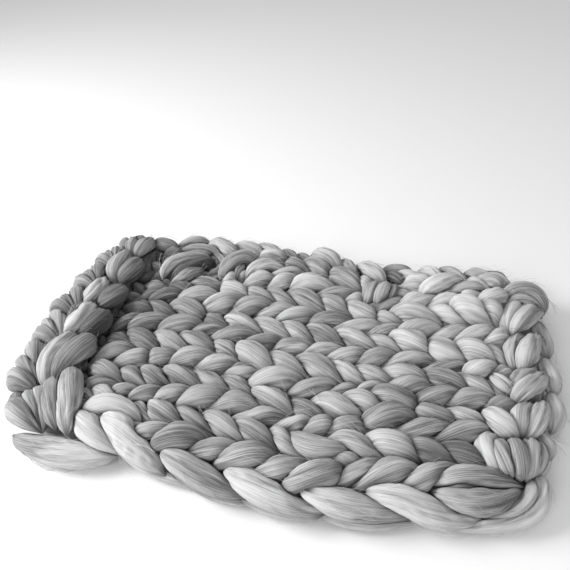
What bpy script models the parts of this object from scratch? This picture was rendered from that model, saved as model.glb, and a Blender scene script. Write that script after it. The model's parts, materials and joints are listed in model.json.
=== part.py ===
"""Chunky knit blanket, lying flat.

A small stockinette piece hand-knitted in very thick wool roving. The rows of stitches follow one
another along X and the columns of stitches lie side by side along Y. The cast-on edge, at -X, is
rolled up and over onto the knit face. The bind-off edge, at +X, lies on top as a thick chain. The two
selvages, at -Y and +Y, are rounded and scalloped. The underside is flat, on Z = 0.
"""
import math
from collections import namedtuple

import bmesh
import bpy

# Driving dimensions, in metres
ROW_PITCH = 0.028          # from one row of stitches to the next, along X
COLUMN_PITCH = 0.043       # from one column of stitches to the next, along Y
COLUMNS = 7
LENGTH = 0.500             # along X, over the rolled edge and the bind-off chain
FABRIC_TOP = 0.0355        # height of the knit face between its two edges
RIDGE_DEPTH = 0.0016       # how far the furrows between the legs of the stitches go down and up

CHAIN_TOP = 0.046          # crest of the bind-off chain
CHAIN_WIDTH = 0.050        # across the chain, along X
CHAIN_CREST_INSET = 0.026  # from the end of the blanket to the chain's crest

CREASE_FLOOR = 0.019       # bottom of the crease that the rolled edge hangs over
CREASE_WIDTH = 0.016       # from the lip of the roll to full fabric height
LIP_CLEARANCE = 0.002      # between the lip and the fabric beside it

SELVAGE_ROUND = 0.017      # how far the two selvages take to round over
SELVAGE_MIDDLE = 0.015     # height at which a selvage stands out most
CORNER_INSET = 0.010       # how much shorter the blanket is at its very selvages
SCALLOP = 0.0045           # stand-out of the big edge stitches, one for every two rows

# Points along each stretch of the section, rows each side of the middle, and stations across
ROWS_BEFORE = 6
ROWS_AFTER = 7
END_POINTS = 8
CHAIN_POINTS = 5
TOP_POINTS = 31
CREASE_POINTS = 3
ROLL_POINTS = 17
STATIONS_PER_COLUMN = 6
ROUND_STATIONS = 3

# Outline of the two selvages, from the cast-on end to the bind-off end
Edge = namedtuple("Edge", "x front back")
EDGES = (
    Edge(-0.250, -0.148, 0.146),
    Edge(-0.215, -0.157, 0.145),
    Edge(-0.175, -0.160, 0.146),
    Edge(-0.130, -0.156, 0.152),
    Edge(-0.090, -0.153, 0.157),
    Edge(-0.030, -0.161, 0.158),
    Edge(0.030, -0.164, 0.149),
    Edge(0.080, -0.161, 0.139),
    Edge(0.125, -0.154, 0.149),
    Edge(0.165, -0.148, 0.160),
    Edge(0.200, -0.143, 0.162),
    Edge(0.230, -0.134, 0.148),
    Edge(0.250, -0.112, 0.122),
)

# The rolled cast-on edge, from the front selvage (across = -1) to the back one (across = 1)
Roll = namedtuple("Roll", "across outer lip height")
ROLLS = (
    Roll(-1.00, -0.228, -0.156, 0.048),
    Roll(-0.85, -0.240, -0.154, 0.053),
    Roll(-0.50, -0.246, -0.162, 0.056),
    Roll(-0.10, -0.250, -0.172, 0.058),
    Roll(0.35, -0.249, -0.175, 0.055),
    Roll(0.75, -0.245, -0.181, 0.051),
    Roll(1.00, -0.232, -0.185, 0.046),
)

# Slow waves that leave the knit face uneven: height, waves over the length, over the width, phase
Wave = namedtuple("Wave", "height along across phase")
WAVES = (
    Wave(0.0012, 2.0, 1.0, 0.4),
    Wave(0.0009, 5.0, -2.0, 1.9),
    Wave(0.0008, 8.0, 3.0, 3.1),
)

WOOL_GREY = (0.36, 0.36, 0.36, 1.0)
WOOL_ROUGHNESS = 0.85


def smooth_step(t):
    """Ease from 0 to 1."""
    t = min(max(t, 0.0), 1.0)
    return t * t * (3.0 - 2.0 * t)


def from_table(rows, key, value, position):
    """Read one column of a table at a position along another, eased between its rows."""
    if position <= getattr(rows[0], key):
        return getattr(rows[0], value)
    for low, high in zip(rows, rows[1:]):
        start, end = getattr(low, key), getattr(high, key)
        if position <= end:
            ease = smooth_step((position - start) / (end - start))
            return getattr(low, value) * (1.0 - ease) + getattr(high, value) * ease
    return getattr(rows[-1], value)


def face_height(x, across):
    """Height of the knit face: furrows along the columns of stitches, and slow waves."""
    column = (across + 1.0) / 2.0 * COLUMNS
    height = FABRIC_TOP - RIDGE_DEPTH * math.cos(4.0 * math.pi * column)
    for wave in WAVES:
        angle = wave.along * x / LENGTH + wave.across * across / 2.0
        height += wave.height * math.sin(2.0 * math.pi * angle + wave.phase)
    return height


def bottom(roll_centre):
    """The flat underside, from under the roll to under the bind-off chain, with a point at each row."""
    rows = range(-ROWS_BEFORE, ROWS_AFTER + 1)
    return [(roll_centre, 0.0)] + [(row * ROW_PITCH, 0.0) for row in rows]


def chain_edge(across):
    """Round the bind-off end, over the chain's crest and down to the knit face."""
    end = LENGTH / 2.0
    crest_x = end - CHAIN_CREST_INSET
    crest_z = CHAIN_TOP - RIDGE_DEPTH * math.cos(2.0 * math.pi * across * COLUMNS / 2.0)
    middle = crest_z / 2.0
    points = []
    for index in range(END_POINTS):
        angle = math.pi * (index / END_POINTS - 0.5)
        points.append((crest_x + CHAIN_CREST_INSET * math.cos(angle), middle + middle * math.sin(angle)))
    inner_x = end - CHAIN_WIDTH
    inner_z = face_height(inner_x, across)
    for index in range(CHAIN_POINTS):
        part = index / CHAIN_POINTS
        height = crest_z + (inner_z - crest_z) * smooth_step(part)
        points.append((crest_x + (inner_x - crest_x) * part, height))
    return points


def knit_face(across, lip):
    """The knit face, from the chain back to the crease beside the roll."""
    start = LENGTH / 2.0 - CHAIN_WIDTH
    end = lip + CREASE_WIDTH
    points = []
    for index in range(TOP_POINTS + 1):
        x = start + (end - start) * index / TOP_POINTS
        points.append((x, face_height(x, across)))
    return points


def crease(across, lip):
    """Down the fabric's side of the crease, to its bottom under the lip."""
    top_x = lip + CREASE_WIDTH
    top_z = face_height(top_x, across)
    points = []
    for index in range(1, CREASE_POINTS + 1):
        angle = 0.5 * math.pi * index / (CREASE_POINTS + 1)
        x = top_x - (CREASE_WIDTH - LIP_CLEARANCE) * math.sin(angle)
        z = CREASE_FLOOR + (top_z - CREASE_FLOOR) * math.cos(angle)
        points.append((x, z))
    return points


def rolled_edge(outer, lip, height):
    """Round the roll from the crease, over its top and down to the underside."""
    centre_x = (outer + lip) / 2.0
    half_width = (lip - outer) / 2.0
    centre_z = height / 2.0
    first = math.asin((CREASE_FLOOR - centre_z) / centre_z)
    last = 1.5 * math.pi
    points = []
    for index in range(ROLL_POINTS):
        angle = first + (last - first) * index / ROLL_POINTS
        points.append((centre_x + half_width * math.cos(angle), centre_z + centre_z * math.sin(angle)))
    return points


def section(across):
    """One closed section in X and Z, at a place across the blanket from -1 to 1."""
    outer = from_table(ROLLS, "across", "outer", across)
    lip = from_table(ROLLS, "across", "lip", across)
    height = from_table(ROLLS, "across", "height", across)
    points = bottom((outer + lip) / 2.0)
    points += chain_edge(across)
    points += knit_face(across, lip)
    points += crease(across, lip)
    points += rolled_edge(outer, lip, height)
    return points


def stations():
    """Places across the blanket, each with how full the section is there: 1, or less in the rounding."""
    count = COLUMNS * STATIONS_PER_COLUMN
    inner = 1.0 - SELVAGE_ROUND / (COLUMNS * COLUMN_PITCH / 2.0)
    places = [(-1.0 + 2.0 * index / count, 1.0) for index in range(count + 1)]
    places = [(across, fullness) for across, fullness in places if abs(across) < inner]
    back = []
    for index in range(1, ROUND_STATIONS + 1):
        angle = 0.5 * math.pi * index / (ROUND_STATIONS + 0.4)
        back.append((inner + (1.0 - inner) * math.sin(angle), math.cos(angle)))
    front = [(-across, fullness) for across, fullness in reversed(back)]
    return front + places + back


def placed(x, z, across, fullness):
    """Put a point of a section at its place in the blanket's outline."""
    x -= math.copysign(CORNER_INSET * (1.0 - fullness), x)
    front = from_table(EDGES, "x", "front", x)
    back = from_table(EDGES, "x", "back", x)
    lobe = abs(math.sin(math.pi * x / (2.0 * ROW_PITCH))) - 0.5
    stand_out = SCALLOP * lobe * across ** 5
    y = (front + back) / 2.0 + across * (back - front) / 2.0 + stand_out
    if fullness < 1.0:
        z = SELVAGE_MIDDLE + (z - SELVAGE_MIDDLE) * fullness
    return x, y, z


def end_panels(ring):
    """Split an end ring into upright panels, so that the end follows the curved outline."""
    last_row = ROWS_BEFORE + ROWS_AFTER + 1
    upper = [index for index in range(last_row + 1, len(ring)) if ring[index].co.z > SELVAGE_MIDDLE]
    above = []
    for row in range(last_row + 1):
        above.append(min(upper, key=lambda index: abs(ring[index].co.x - ring[row].co.x)))
    panels = [[0] + list(range(above[0], len(ring)))]
    for row in range(last_row):
        panels.append([row, row + 1] + list(range(above[row + 1], above[row] + 1)))
    panels.append(list(range(last_row, above[last_row] + 1)))
    return [[ring[index] for index in panel] for panel in panels]


def centre_over_origin(vertices):
    """Bring the middle of the blanket's box over the origin, seen from above."""
    for axis in (0, 1):
        places = [vertex.co[axis] for vertex in vertices]
        middle = (min(places) + max(places)) / 2.0
        for vertex in vertices:
            vertex.co[axis] -= middle


def wool_material():
    """Matt grey wool."""
    material = bpy.data.materials.new("grey_wool")
    material.use_nodes = True
    shader = material.node_tree.nodes["Principled BSDF"]
    shader.inputs["Base Color"].default_value = WOOL_GREY
    shader.inputs["Roughness"].default_value = WOOL_ROUGHNESS
    shader.inputs["Metallic"].default_value = 0.0
    return material


def knit_blanket(collection):
    """Loft the sections, from the front selvage to the back one, into one closed solid."""
    mesh_data = bmesh.new()
    rings = []
    for across, fullness in stations():
        ring = [mesh_data.verts.new(placed(x, z, across, fullness)) for x, z in section(across)]
        rings.append(ring)
    for ring, following in zip(rings, rings[1:]):
        for index in range(len(ring)):
            ahead = (index + 1) % len(ring)
            mesh_data.faces.new((ring[index], ring[ahead], following[ahead], following[index]))
    for panel in end_panels(rings[0]) + end_panels(rings[-1]):
        mesh_data.faces.new(panel)
    centre_over_origin(mesh_data.verts)
    bmesh.ops.triangulate(mesh_data, faces=mesh_data.faces[:])
    bmesh.ops.recalc_face_normals(mesh_data, faces=mesh_data.faces[:])
    mesh = bpy.data.meshes.new("knit_blanket")
    mesh_data.to_mesh(mesh)
    mesh_data.free()
    mesh.shade_smooth()
    blanket = bpy.data.objects.new("knit_blanket", mesh)
    blanket.data.materials.append(wool_material())
    collection.objects.link(blanket)
    return blanket


def main():
    for old in list(bpy.data.objects):
        bpy.data.objects.remove(old, do_unlink=True)
    collection = bpy.data.collections.new("chunky_knit_blanket")
    bpy.context.scene.collection.children.link(collection)
    knit_blanket(collection)


main()
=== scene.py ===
"""Chunky knit blanket: the knitted wool roving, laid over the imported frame."""
import json
import math
from collections import namedtuple

import bpy
import numpy as np
from mathutils import Matrix, Vector

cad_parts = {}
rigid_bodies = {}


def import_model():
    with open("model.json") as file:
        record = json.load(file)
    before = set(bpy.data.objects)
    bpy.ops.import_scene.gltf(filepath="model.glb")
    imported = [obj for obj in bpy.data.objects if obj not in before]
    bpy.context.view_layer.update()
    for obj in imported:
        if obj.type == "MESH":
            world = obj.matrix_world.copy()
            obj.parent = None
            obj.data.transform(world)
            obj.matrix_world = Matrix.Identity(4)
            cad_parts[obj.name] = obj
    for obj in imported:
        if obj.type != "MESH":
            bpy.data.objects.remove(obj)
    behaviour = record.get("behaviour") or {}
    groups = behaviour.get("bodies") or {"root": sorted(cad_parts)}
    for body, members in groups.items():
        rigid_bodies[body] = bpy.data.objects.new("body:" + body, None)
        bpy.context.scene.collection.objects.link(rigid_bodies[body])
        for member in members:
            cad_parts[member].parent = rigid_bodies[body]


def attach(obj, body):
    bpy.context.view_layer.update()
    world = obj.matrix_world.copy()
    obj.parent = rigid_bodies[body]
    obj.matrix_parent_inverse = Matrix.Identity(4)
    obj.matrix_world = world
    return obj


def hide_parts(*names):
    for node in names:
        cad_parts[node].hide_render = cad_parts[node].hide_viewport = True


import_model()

bl_info = {
    "name": "Chunky Knit Blanket",
    "version": (1, 0, 0),
    "blender": (4, 5, 0),
    "location": "3D View > Sidebar > Knit",
    "description": "Knits a small blanket in thick wool roving, row by row",
    "category": "Add Mesh",
}

NODE = "knit_blanket"
BODY = "root"
KNIT_PREFIX = "knit_"
FIBRES_PREFIX = "fibres_"
TAU = 2.0 * math.pi

# The blanket's own grid: rows of stitches follow one another along X and columns lie side by side
# across Y. Places are given as (row, column, height), in row pitches for the height.
FIRST_ROW = -2
LAST_ROW = 12
COLUMNS = 7
MIDDLE_ROW = 5.50
MIDDLE_COLUMN = 3.323


# ---------------------------------------------------------------------------------------------
# Settings

class KnitSizes(bpy.types.PropertyGroup):
    """Sizes of the stitches."""
    row: bpy.props.FloatProperty(
        name="Row pitch", description="From one row of stitches to the next",
        default=0.028, unit="LENGTH")
    column: bpy.props.FloatProperty(
        name="Column pitch", description="From one column of stitches to the next",
        default=0.043, unit="LENGTH")
    roving: bpy.props.FloatProperty(
        name="Roving radius", description="Radius of the roving where nothing presses on it",
        default=0.0122, unit="LENGTH")
    middle: bpy.props.FloatProperty(
        name="Fabric middle", description="Height of the fabric's middle over the surface it lies on",
        default=0.0185, unit="LENGTH")
    spacing: bpy.props.FloatProperty(
        name="Station spacing", description="Spacing of the sections along a strand",
        default=0.0023, unit="LENGTH")
    around: bpy.props.IntProperty(
        name="Points around", description="Points of each section of a strand", default=32)


def sizes():
    """The settings in use."""
    return bpy.context.scene.knit_sizes


def pitch():
    """Rows that fit in the width of one column."""
    return sizes().column / sizes().row


def to_metres(places):
    """Turn (row, column, height) into metres in the frame."""
    places = np.asarray(places, float)
    row, column = sizes().row, sizes().column
    return np.stack([(places[:, 0] - MIDDLE_ROW) * row,
                     (MIDDLE_COLUMN - places[:, 1]) * column,
                     places[:, 2] * row], 1)


def smooth_step(t):
    """From 0 to 1 with soft ends."""
    t = np.clip(t, 0.0, 1.0)
    return t * t * (3.0 - 2.0 * t)


# ---------------------------------------------------------------------------------------------
# How the fabric lies and how its grey varies

# How far each row's stitches drift towards the front, in rows, at the back, the middle and the front
Drift = namedtuple("Drift", "row back middle front")
DRIFTS = (
    Drift(-2.0, 0.35, 0.0, -0.3),
    Drift(0.0, 0.35, 0.0, -0.45),
    Drift(3.0, -0.25, 0.0, -0.05),
    Drift(5.5, -0.2, 0.15, 0.2),
    Drift(8.0, 0.35, 0.35, 0.22),
    Drift(10.0, -0.2, 0.0, -0.25),
    Drift(12.0, -0.7, -0.25, -0.4),
    Drift(14.0, -0.8, -0.3, -0.6),
)


def drift(row, column):
    """How far the fabric has drifted towards the front, in rows."""
    rows = [entry.row for entry in DRIFTS]
    back = np.interp(row, rows, [entry.back for entry in DRIFTS])
    middle = np.interp(row, rows, [entry.middle for entry in DRIFTS])
    front = np.interp(row, rows, [entry.front for entry in DRIFTS])
    across = np.clip(np.asarray(column) / COLUMNS, 0.0, 1.0)
    return np.where(across < 0.5, back + (middle - back) * across * 2.0,
                    middle + (front - middle) * (across * 2.0 - 1.0))


# Where the knitted rows run paler or darker: soft spots, as wide as reach, in rows. The dark spots along
# the cast-on are the painted shadow of its chain, and the pale spots at the back of rows 8 to 12 are
# painted light; the others make the rows paler or darker here and there
Tone = namedtuple("Tone", "row column reach shade")
PAINTED_LIGHT_AND_TONES = (
    Tone(-0.4, 0.8, 2.0, -0.2),
    Tone(-0.5, 3.0, 1.6, -0.22),
    Tone(-0.5, 4.8, 1.3, -0.18),
    Tone(10.8, 1.5, 2.4, 0.1),
    Tone(1.2, 6.3, 1.3, 0.12),
    Tone(3.6, 6.2, 1.0, -0.1),
    Tone(9.2, 4.6, 1.2, -0.08),
    Tone(5.4, 0.9, 1.2, 0.04),
    Tone(12.9, 3.4, 1.8, 0.12),
    Tone(13.2, 2.4, 0.9, 0.08),
    Tone(5.1, 5.7, 0.9, 0.15),
    Tone(7.9, 5.4, 0.9, 0.12),
    Tone(9.2, 5.2, 0.9, 0.08),
    Tone(10.6, 5.2, 0.9, -0.19),
    Tone(3.1, 1.2, 0.9, 0.1),
    Tone(6.5, 0.8, 0.9, -0.08),
    Tone(8.2, 0.6, 0.9, 0.12),
    Tone(9.9, 0.4, 0.9, 0.26),
    Tone(11.6, 0.6, 0.9, 0.14),
    Tone(12.2, 3.2, 0.8, 0.04),
    Tone(10.0, 1.5, 0.9, 0.09),
    Tone(0.2, 4.8, 0.9, 0.08),
    Tone(3.0, 1.4, 0.9, 0.06),
    Tone(7.5, 3.9, 0.9, 0.08),
    Tone(8.9, 3.8, 0.9, 0.08),
    Tone(11.7, 5.6, 0.8, -0.08),
    Tone(1.0, 5.7, 0.8, 0.07),
    Tone(4.6, 4.9, 0.45, -0.12),
)


def painted_light_and_tone_at(row, column):
    """How much paler, or darker below nought, a place is painted, painted shadow and painted light among
    it.
    """
    shade = np.zeros(np.shape(row))
    for tone in PAINTED_LIGHT_AND_TONES:
        away = ((row - tone.row) ** 2 + ((column - tone.column) * pitch()) ** 2) / tone.reach ** 2
        shade = shade + tone.shade * np.exp(-away)
    return shade


# ---------------------------------------------------------------------------------------------
# The lie of the roving: centre lines of the strands

Strand = namedtuple("Strand", "piece name points radius shade")

# Strands that are bundles of one roving: they press together with hardly a groove between them
PACKED = ("fold_", "wedge_", "middle_", "upright", "bundle_", "limb_", "bulb_", "last_leg")
PACKED_EDGE = 16.0          # how squarely a strand fills its corners, as a power
LOOSE_EDGE = 8.0
PACKED_DARK = 0.6           # how much of the painted shade in the grooves between strands they keep

STEPS_PER_SPAN = 16         # of the curve between two stops of a strand
FEWEST_STATIONS = 4
ROUND_END = 1.1             # how much of an end is rounded off, in greatest radii
END_AREA = 0.004            # what is left of the section at the very end, as a share


def rounded(stops):
    """A smooth curve through the stops of a strand, after Catmull and Rom."""
    stops = np.asarray(stops, float)
    ends = np.concatenate([[2.0 * stops[0] - stops[1]], stops, [2.0 * stops[-1] - stops[-2]]])
    pieces = []
    for before, near, far, after in zip(ends[:-3], ends[1:-2], ends[2:-1], ends[3:]):
        t = np.linspace(0.0, 1.0, STEPS_PER_SPAN, endpoint=False)[:, None]
        pieces.append(0.5 * (2.0 * near + (far - before) * t
                             + (2.0 * before - 5.0 * near + 4.0 * far - after) * t ** 2
                             + (3.0 * near - before - 3.0 * far + after) * t ** 3))
    pieces.append(stops[-1:])
    return np.concatenate(pieces)


def lengths_along(points):
    """How far along the strand each of its points lies."""
    steps = np.linalg.norm(np.diff(points, axis=0), axis=1)
    return np.concatenate([[0.0], np.cumsum(steps)])


def resample(points, values, spacing):
    """Space points evenly along a strand, with the values that go with them."""
    along = lengths_along(points)
    count = max(int(round(along[-1] / spacing)) + 1, FEWEST_STATIONS)
    places = np.linspace(0.0, along[-1], count)
    even = np.stack([np.interp(places, along, points[:, axis]) for axis in range(3)], 1)
    return even, np.interp(places, along, values)


def tapered(points, radius):
    """Round off both ends of a strand."""
    along = lengths_along(points)
    from_end = np.minimum(along, along[-1] - along) / (radius.max() * ROUND_END)
    blunt = np.clip(1.0 - from_end, 0.0, 1.0)
    return radius * np.sqrt(np.clip(1.0 - blunt ** 2, END_AREA, 1.0))


def laid(piece, name, stops, shade, end_shade):
    """A strand through its stops (row, column, height, radius), all in rows but the column."""
    smooth = rounded(stops)
    points, radius = resample(to_metres(smooth[:, :3]), smooth[:, 3] * sizes().row, sizes().spacing)
    shades = np.linspace(shade, end_shade, len(points))
    return Strand(piece, name, points, tapered(points, radius), shades)


# ---------------------------------------------------------------------------------------------
# The knitted rows. The roving goes back and forth once in a turn, over two legs of a V, and a place
# along it is counted in turns from the back selvage. Distances are in rows

BACK_TURN = 0.46            # where a row starts and stops at the two selvages
FRONT_TURN = 6.42
FIRST_ROW_SHORTER = 0.35    # how far the first row stops short of the front selvage, in turns
PLACES_PER_COLUMN = 64
LEG_AHEAD = 0.75            # from the point of a V to the middle of its legs
LEG_LEAN = 0.23             # how far a leg leans across, in columns
LOOP_DEPTH = 0.30           # how far the roving rises on the face and sinks behind it
LEG_PAINTED_SHADE = 0.07        # painted shade along a leg: how much paler it is at the point of its V than where it goes under
TUCKED_RADIUS = 0.68        # of the roving's own radius, where it goes under
LEG_SWELLS = 0.32           # and how much more of it a leg has at its middle
ODD_ROW_EDGE = 1.12         # how fat the edge stitches are, in every other row
EVEN_ROW_EDGE = 0.92

# How much chance there is in each stitch, as a standard deviation: in rows, in columns for the lean,
# and as a share for the reach and the plumpness
Chance = namedtuple("Chance", "shift lean reach lift sway shade plump")
CHANCE = Chance(0.08, 0.02, 0.04, 0.06, 0.07, 0.045, 0.10)

# The first rows stand out at the back selvage
BACK_BULGE = 0.30
BACK_BULGE_TURN = 0.62
BACK_BULGE_WIDTH = 0.22     # in turns
BACK_BULGE_END = 6.5        # the row where it has gone
BACK_BULGE_FADE = 2.0

# The rows sink under the two chains
CAST_ON_INNER_EDGE = 0.30
CAST_ON_SLOPE = 1.1
UNDER_CAST_ON = 0.52        # share of its height that the fabric loses there
BIND_OFF_INNER_EDGE = 12.35
BIND_OFF_SLOPE = 1.2
UNDER_BIND_OFF = 0.30       # rows that the fabric sinks there
BIND_OFF_DRAWN_IN = 0.42    # how much closer together the stitches lie there, as a share
BIND_OFF_REACH = 2.0        # how far on that goes, in rows

# How far each row's V-points lie from an even grid, at the first to the fifth V-point from the back:
# towards the bind-off and towards the front. The sixth lies on the grid. The table starts at row 0,
# and the rows before it lie as row 0 does
V_POINTS = (1, 2, 3, 4, 5, 6)
Nudge = namedtuple("Nudge", "along front")
NUDGES = (
    Nudge((0.18, -0.07, -0.19, 0.06, 0.5), (0.02, -0.04, -0.13, 0.26, 0.5)),
    Nudge((0.28, -0.03, -0.2, -0.11, 0.26), (-0.11, -0.12, -0.13, 0.07, 0.36)),
    Nudge((0.42, 0.24, -0.08, -0.17, 0.13), (0.04, 0.13, 0.01, -0.05, 0.14)),
    Nudge((0.24, 0.18, 0.07, -0.02, 0.01), (0.04, 0.18, 0.18, 0.04, -0.04)),
    Nudge((0.16, 0.0, 0.16, 0.07, -0.07), (0.03, 0.1, 0.26, -0.01, -0.1)),
    Nudge((0.09, -0.06, 0.04, 0.19, -0.04), (-0.09, 0.07, 0.04, 0.1, 0.04)),
    Nudge((0.19, 0.04, -0.05, 0.15, 0.15), (-0.03, 0.04, -0.04, 0.09, 0.21)),
    Nudge((0.24, 0.05, -0.05, 0.02, 0.18), (0.09, 0.1, 0.05, -0.03, 0.0)),
    Nudge((0.07, -0.01, -0.03, -0.05, -0.13), (0.3, 0.34, 0.0, -0.07, -0.27)),
    Nudge((0.04, 0.08, -0.07, 0.04, -0.24), (0.0, 0.5, -0.19, -0.04, -0.5)),
    Nudge((0.1, 0.38, 0.21, 0.11, -0.19), (0.0, 0.5, 0.27, -0.03, -0.5)),
    Nudge((-0.2, -0.09, 0.04, 0.03, -0.24), (0.0, 0.5, 0.5, 0.02, -0.27)),
    Nudge((-0.21, -0.31, -0.16, -0.05, 0.31), (-0.1, 0.5, 0.5, 0.14, 0.35)),
)

# Stitches that lie unlike their neighbours, by row. The leg is a place along the row in turns; moves
# are towards the bind-off, towards the front and up, and fatness is a factor
Odd = namedtuple("Odd", "leg along front up fatness shade")
LEG_SPREAD = 0.17           # how much of the row an odd leg takes with it, in turns
ODD_LEGS = {
    0: (
        Odd(6.25, 0.0, 0.0, -0.1, 0.7, -0.04),
    ),
    1: (
        Odd(6.25, 0.0, 0.1, -0.1, 0.75, 0.0),
        Odd(5.75, -0.1, -0.05, -0.12, 0.8, 0.0),
        Odd(3.75, 0.0, 0.0, 0.0, 1.0, -0.1),
    ),
    2: (
        Odd(4.25, 0.1, 0.0, 0.05, 1.18, -0.06),
        Odd(2.75, 0.12, 0.08, -0.08, 0.88, -0.04),
        Odd(1.0, 0.05, -0.15, 0.0, 1.0, 0.0),
        Odd(1.25, -0.15, 0.0, 0.05, 1.15, 0.14),
    ),
    3: (
        Odd(6.25, -0.12, 0.08, 0.0, 1.08, -0.02),
        Odd(0.75, 0.0, 0.0, 0.08, 1.1, 0.05),
        Odd(0.25, 0.0, 0.1, -0.25, 0.8, 0.0),
        Odd(1.0, 0.0, -0.15, 0.0, 1.0, 0.0),
        Odd(1.25, -0.15, 0.0, 0.0, 1.08, 0.0),
    ),
    4: (
        Odd(6.25, 0.05, 0.0, 0.15, 1.15, 0.0),
        Odd(3.75, 0.05, 0.1, 0.12, 1.18, 0.08),
        Odd(1.0, 0.05, -0.18, 0.0, 1.0, 0.0),
        Odd(1.25, -0.15, 0.0, 0.05, 1.15, 0.12),
    ),
    5: (
        Odd(6.25, 0.05, 0.05, 0.02, 1.1, 0.1),
        Odd(4.25, -0.12, 0.05, 0.08, 1.1, 0.03),
        Odd(1.25, -0.1, 0.0, 0.08, 1.15, 0.1),
    ),
    6: (
        Odd(2.25, 0.0, -0.1, 0.05, 0.8, -0.06),
        Odd(4.75, 0.1, 0.06, -0.06, 0.9, -0.03),
    ),
    7: (
        Odd(5.75, 0.3, 0.22, 0.0, 1.05, 0.02),
        Odd(6.25, -0.05, 0.24, -0.05, 1.04, 0.0),
        Odd(5.25, -0.45, 0.0, 0.0, 1.0, 0.0),
    ),
    8: (
        Odd(1.25, -0.15, -0.12, 0.16, 0.8, -0.1),
        Odd(5.25, -0.55, -0.1, 0.0, 0.95, 0.02),
        Odd(5.75, -0.2, -0.15, 0.08, 1.15, 0.06),
    ),
    9: (
        Odd(5.25, -0.15, -0.16, 0.08, 0.88, -0.1),
        Odd(2.75, 0.0, 0.05, 0.05, 1.2, 0.04),
        Odd(6.25, -0.15, 0.04, 0.0, 0.98, 0.04),
        Odd(5.75, 0.0, -0.12, 0.05, 1.05, 0.05),
        Odd(1.25, -0.1, 0.05, 0.0, 1.05, 0.03),
        Odd(4.75, 0.0, 0.06, 0.06, 1.15, 0.0),
        Odd(1.75, -0.18, -0.15, 0.08, 1.25, 0.14),
        Odd(3.25, 0.0, 0.15, -0.08, 0.82, -0.05),
    ),
    10: (
        Odd(4.75, -0.12, 0.46, 0.0, 0.88, 0.04),
        Odd(6.25, 0.0, -0.14, 0.05, 1.15, 0.06),
        Odd(5.25, 0.0, 0.06, 0.0, 0.82, 0.06),
        Odd(5.75, -0.05, 0.05, -0.1, 0.86, -0.05),
        Odd(1.25, -0.18, 0.05, 0.0, 0.95, 0.0),
        Odd(4.25, -0.18, 0.4, 0.08, 1.05, 0.03),
        Odd(3.25, 0.0, 0.15, -0.08, 0.82, -0.07),
        Odd(2.75, -0.2, 0.08, 0.08, 1.18, 0.03),
        Odd(1.75, -0.2, -0.12, 0.04, 1.0, 0.04),
    ),
    11: (
        Odd(1.75, 0.0, 0.0, 0.12, 1.28, 0.1),
        Odd(6.25, -0.12, 0.05, -0.14, 0.85, -0.04),
        Odd(5.75, -0.15, 0.05, 0.0, 0.98, -0.04),
        Odd(5.25, -0.12, 0.0, 0.0, 1.05, 0.0),
        Odd(1.25, -0.25, 0.0, 0.06, 1.15, 0.05),
        Odd(4.25, -0.46, 0.28, 0.03, 0.92, 0.04),
        Odd(3.75, -0.22, 0.06, 0.06, 1.05, 0.05),
        Odd(4.75, -0.22, 0.24, 0.0, 1.0, 0.02),
        Odd(2.75, -0.2, 0.06, 0.08, 1.28, 0.03),
        Odd(1.75, -0.26, -0.22, 0.1, 1.3, 0.06),
    ),
    12: (
        Odd(6.25, 0.0, -0.1, -0.45, 0.8, 0.0),
        Odd(1.75, 0.0, -0.25, 0.05, 1.15, 0.03),
    ),
}


# The course of a row, place by place: along, across and height in rows, and the radius in metres
Run = namedtuple("Run", "along across height radius shade")


def loops(row, turn, random):
    """The row's run of loops over an even grid, with the chance there is in them."""
    stitch = np.arange(COLUMNS) + 0.5
    leg = np.arange(COLUMNS * 2) * 0.5 + 0.25
    shift = np.interp(turn, stitch, random.normal(0.0, CHANCE.shift, COLUMNS))
    lean = np.interp(turn, stitch, LEG_LEAN + random.normal(0.0, CHANCE.lean, COLUMNS))
    reach = np.interp(turn, stitch, 1.0 + random.normal(0.0, CHANCE.reach, COLUMNS))
    lift = np.interp(turn, leg, random.normal(0.0, CHANCE.lift, COLUMNS * 2))
    sway = np.interp(turn, leg, random.normal(0.0, CHANCE.sway, COLUMNS * 2))
    shade = np.interp(turn, leg, random.normal(0.0, CHANCE.shade, COLUMNS * 2))
    plump = 1.0 + random.normal(0.0, CHANCE.plump, COLUMNS * 2)
    at_edge = ODD_ROW_EDGE if row % 2 else EVEN_ROW_EDGE
    plump[1] *= at_edge
    plump[-2] *= at_edge
    fullness = 0.5 - 0.5 * np.cos(2.0 * TAU * turn)
    return Run(
        row + LEG_AHEAD + shift - reach * np.cos(TAU * turn),
        turn * pitch() + lean * pitch() * np.sin(2.0 * TAU * turn) + sway,
        sizes().middle / sizes().row - LOOP_DEPTH * np.cos(2.0 * TAU * turn) + lift,
        sizes().roving * (TUCKED_RADIUS + LEG_SWELLS * fullness) * np.interp(turn, leg, plump),
        shade + LEG_PAINTED_SHADE * np.cos(TAU * turn))


def off_the_grid(row, turn, run):
    """The run with its V-points moved off the even grid and its odd legs away from the others."""
    along, across, height, radius, shade = run
    nudge = NUDGES[max(row, 0)]
    along = along + np.interp(turn, V_POINTS, nudge.along + (0.0,))
    across = across + np.interp(turn, V_POINTS, nudge.front + (0.0,))
    for odd in ODD_LEGS.get(row, ()):
        near = np.exp(-((turn - odd.leg) / LEG_SPREAD) ** 2)
        along = along + odd.along * near
        across = across + odd.front * near
        height = height + odd.up * near
        radius = radius * (1.0 + (odd.fatness - 1.0) * near)
        shade = shade + odd.shade * near
    return Run(along, across, height, radius, shade)


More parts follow.
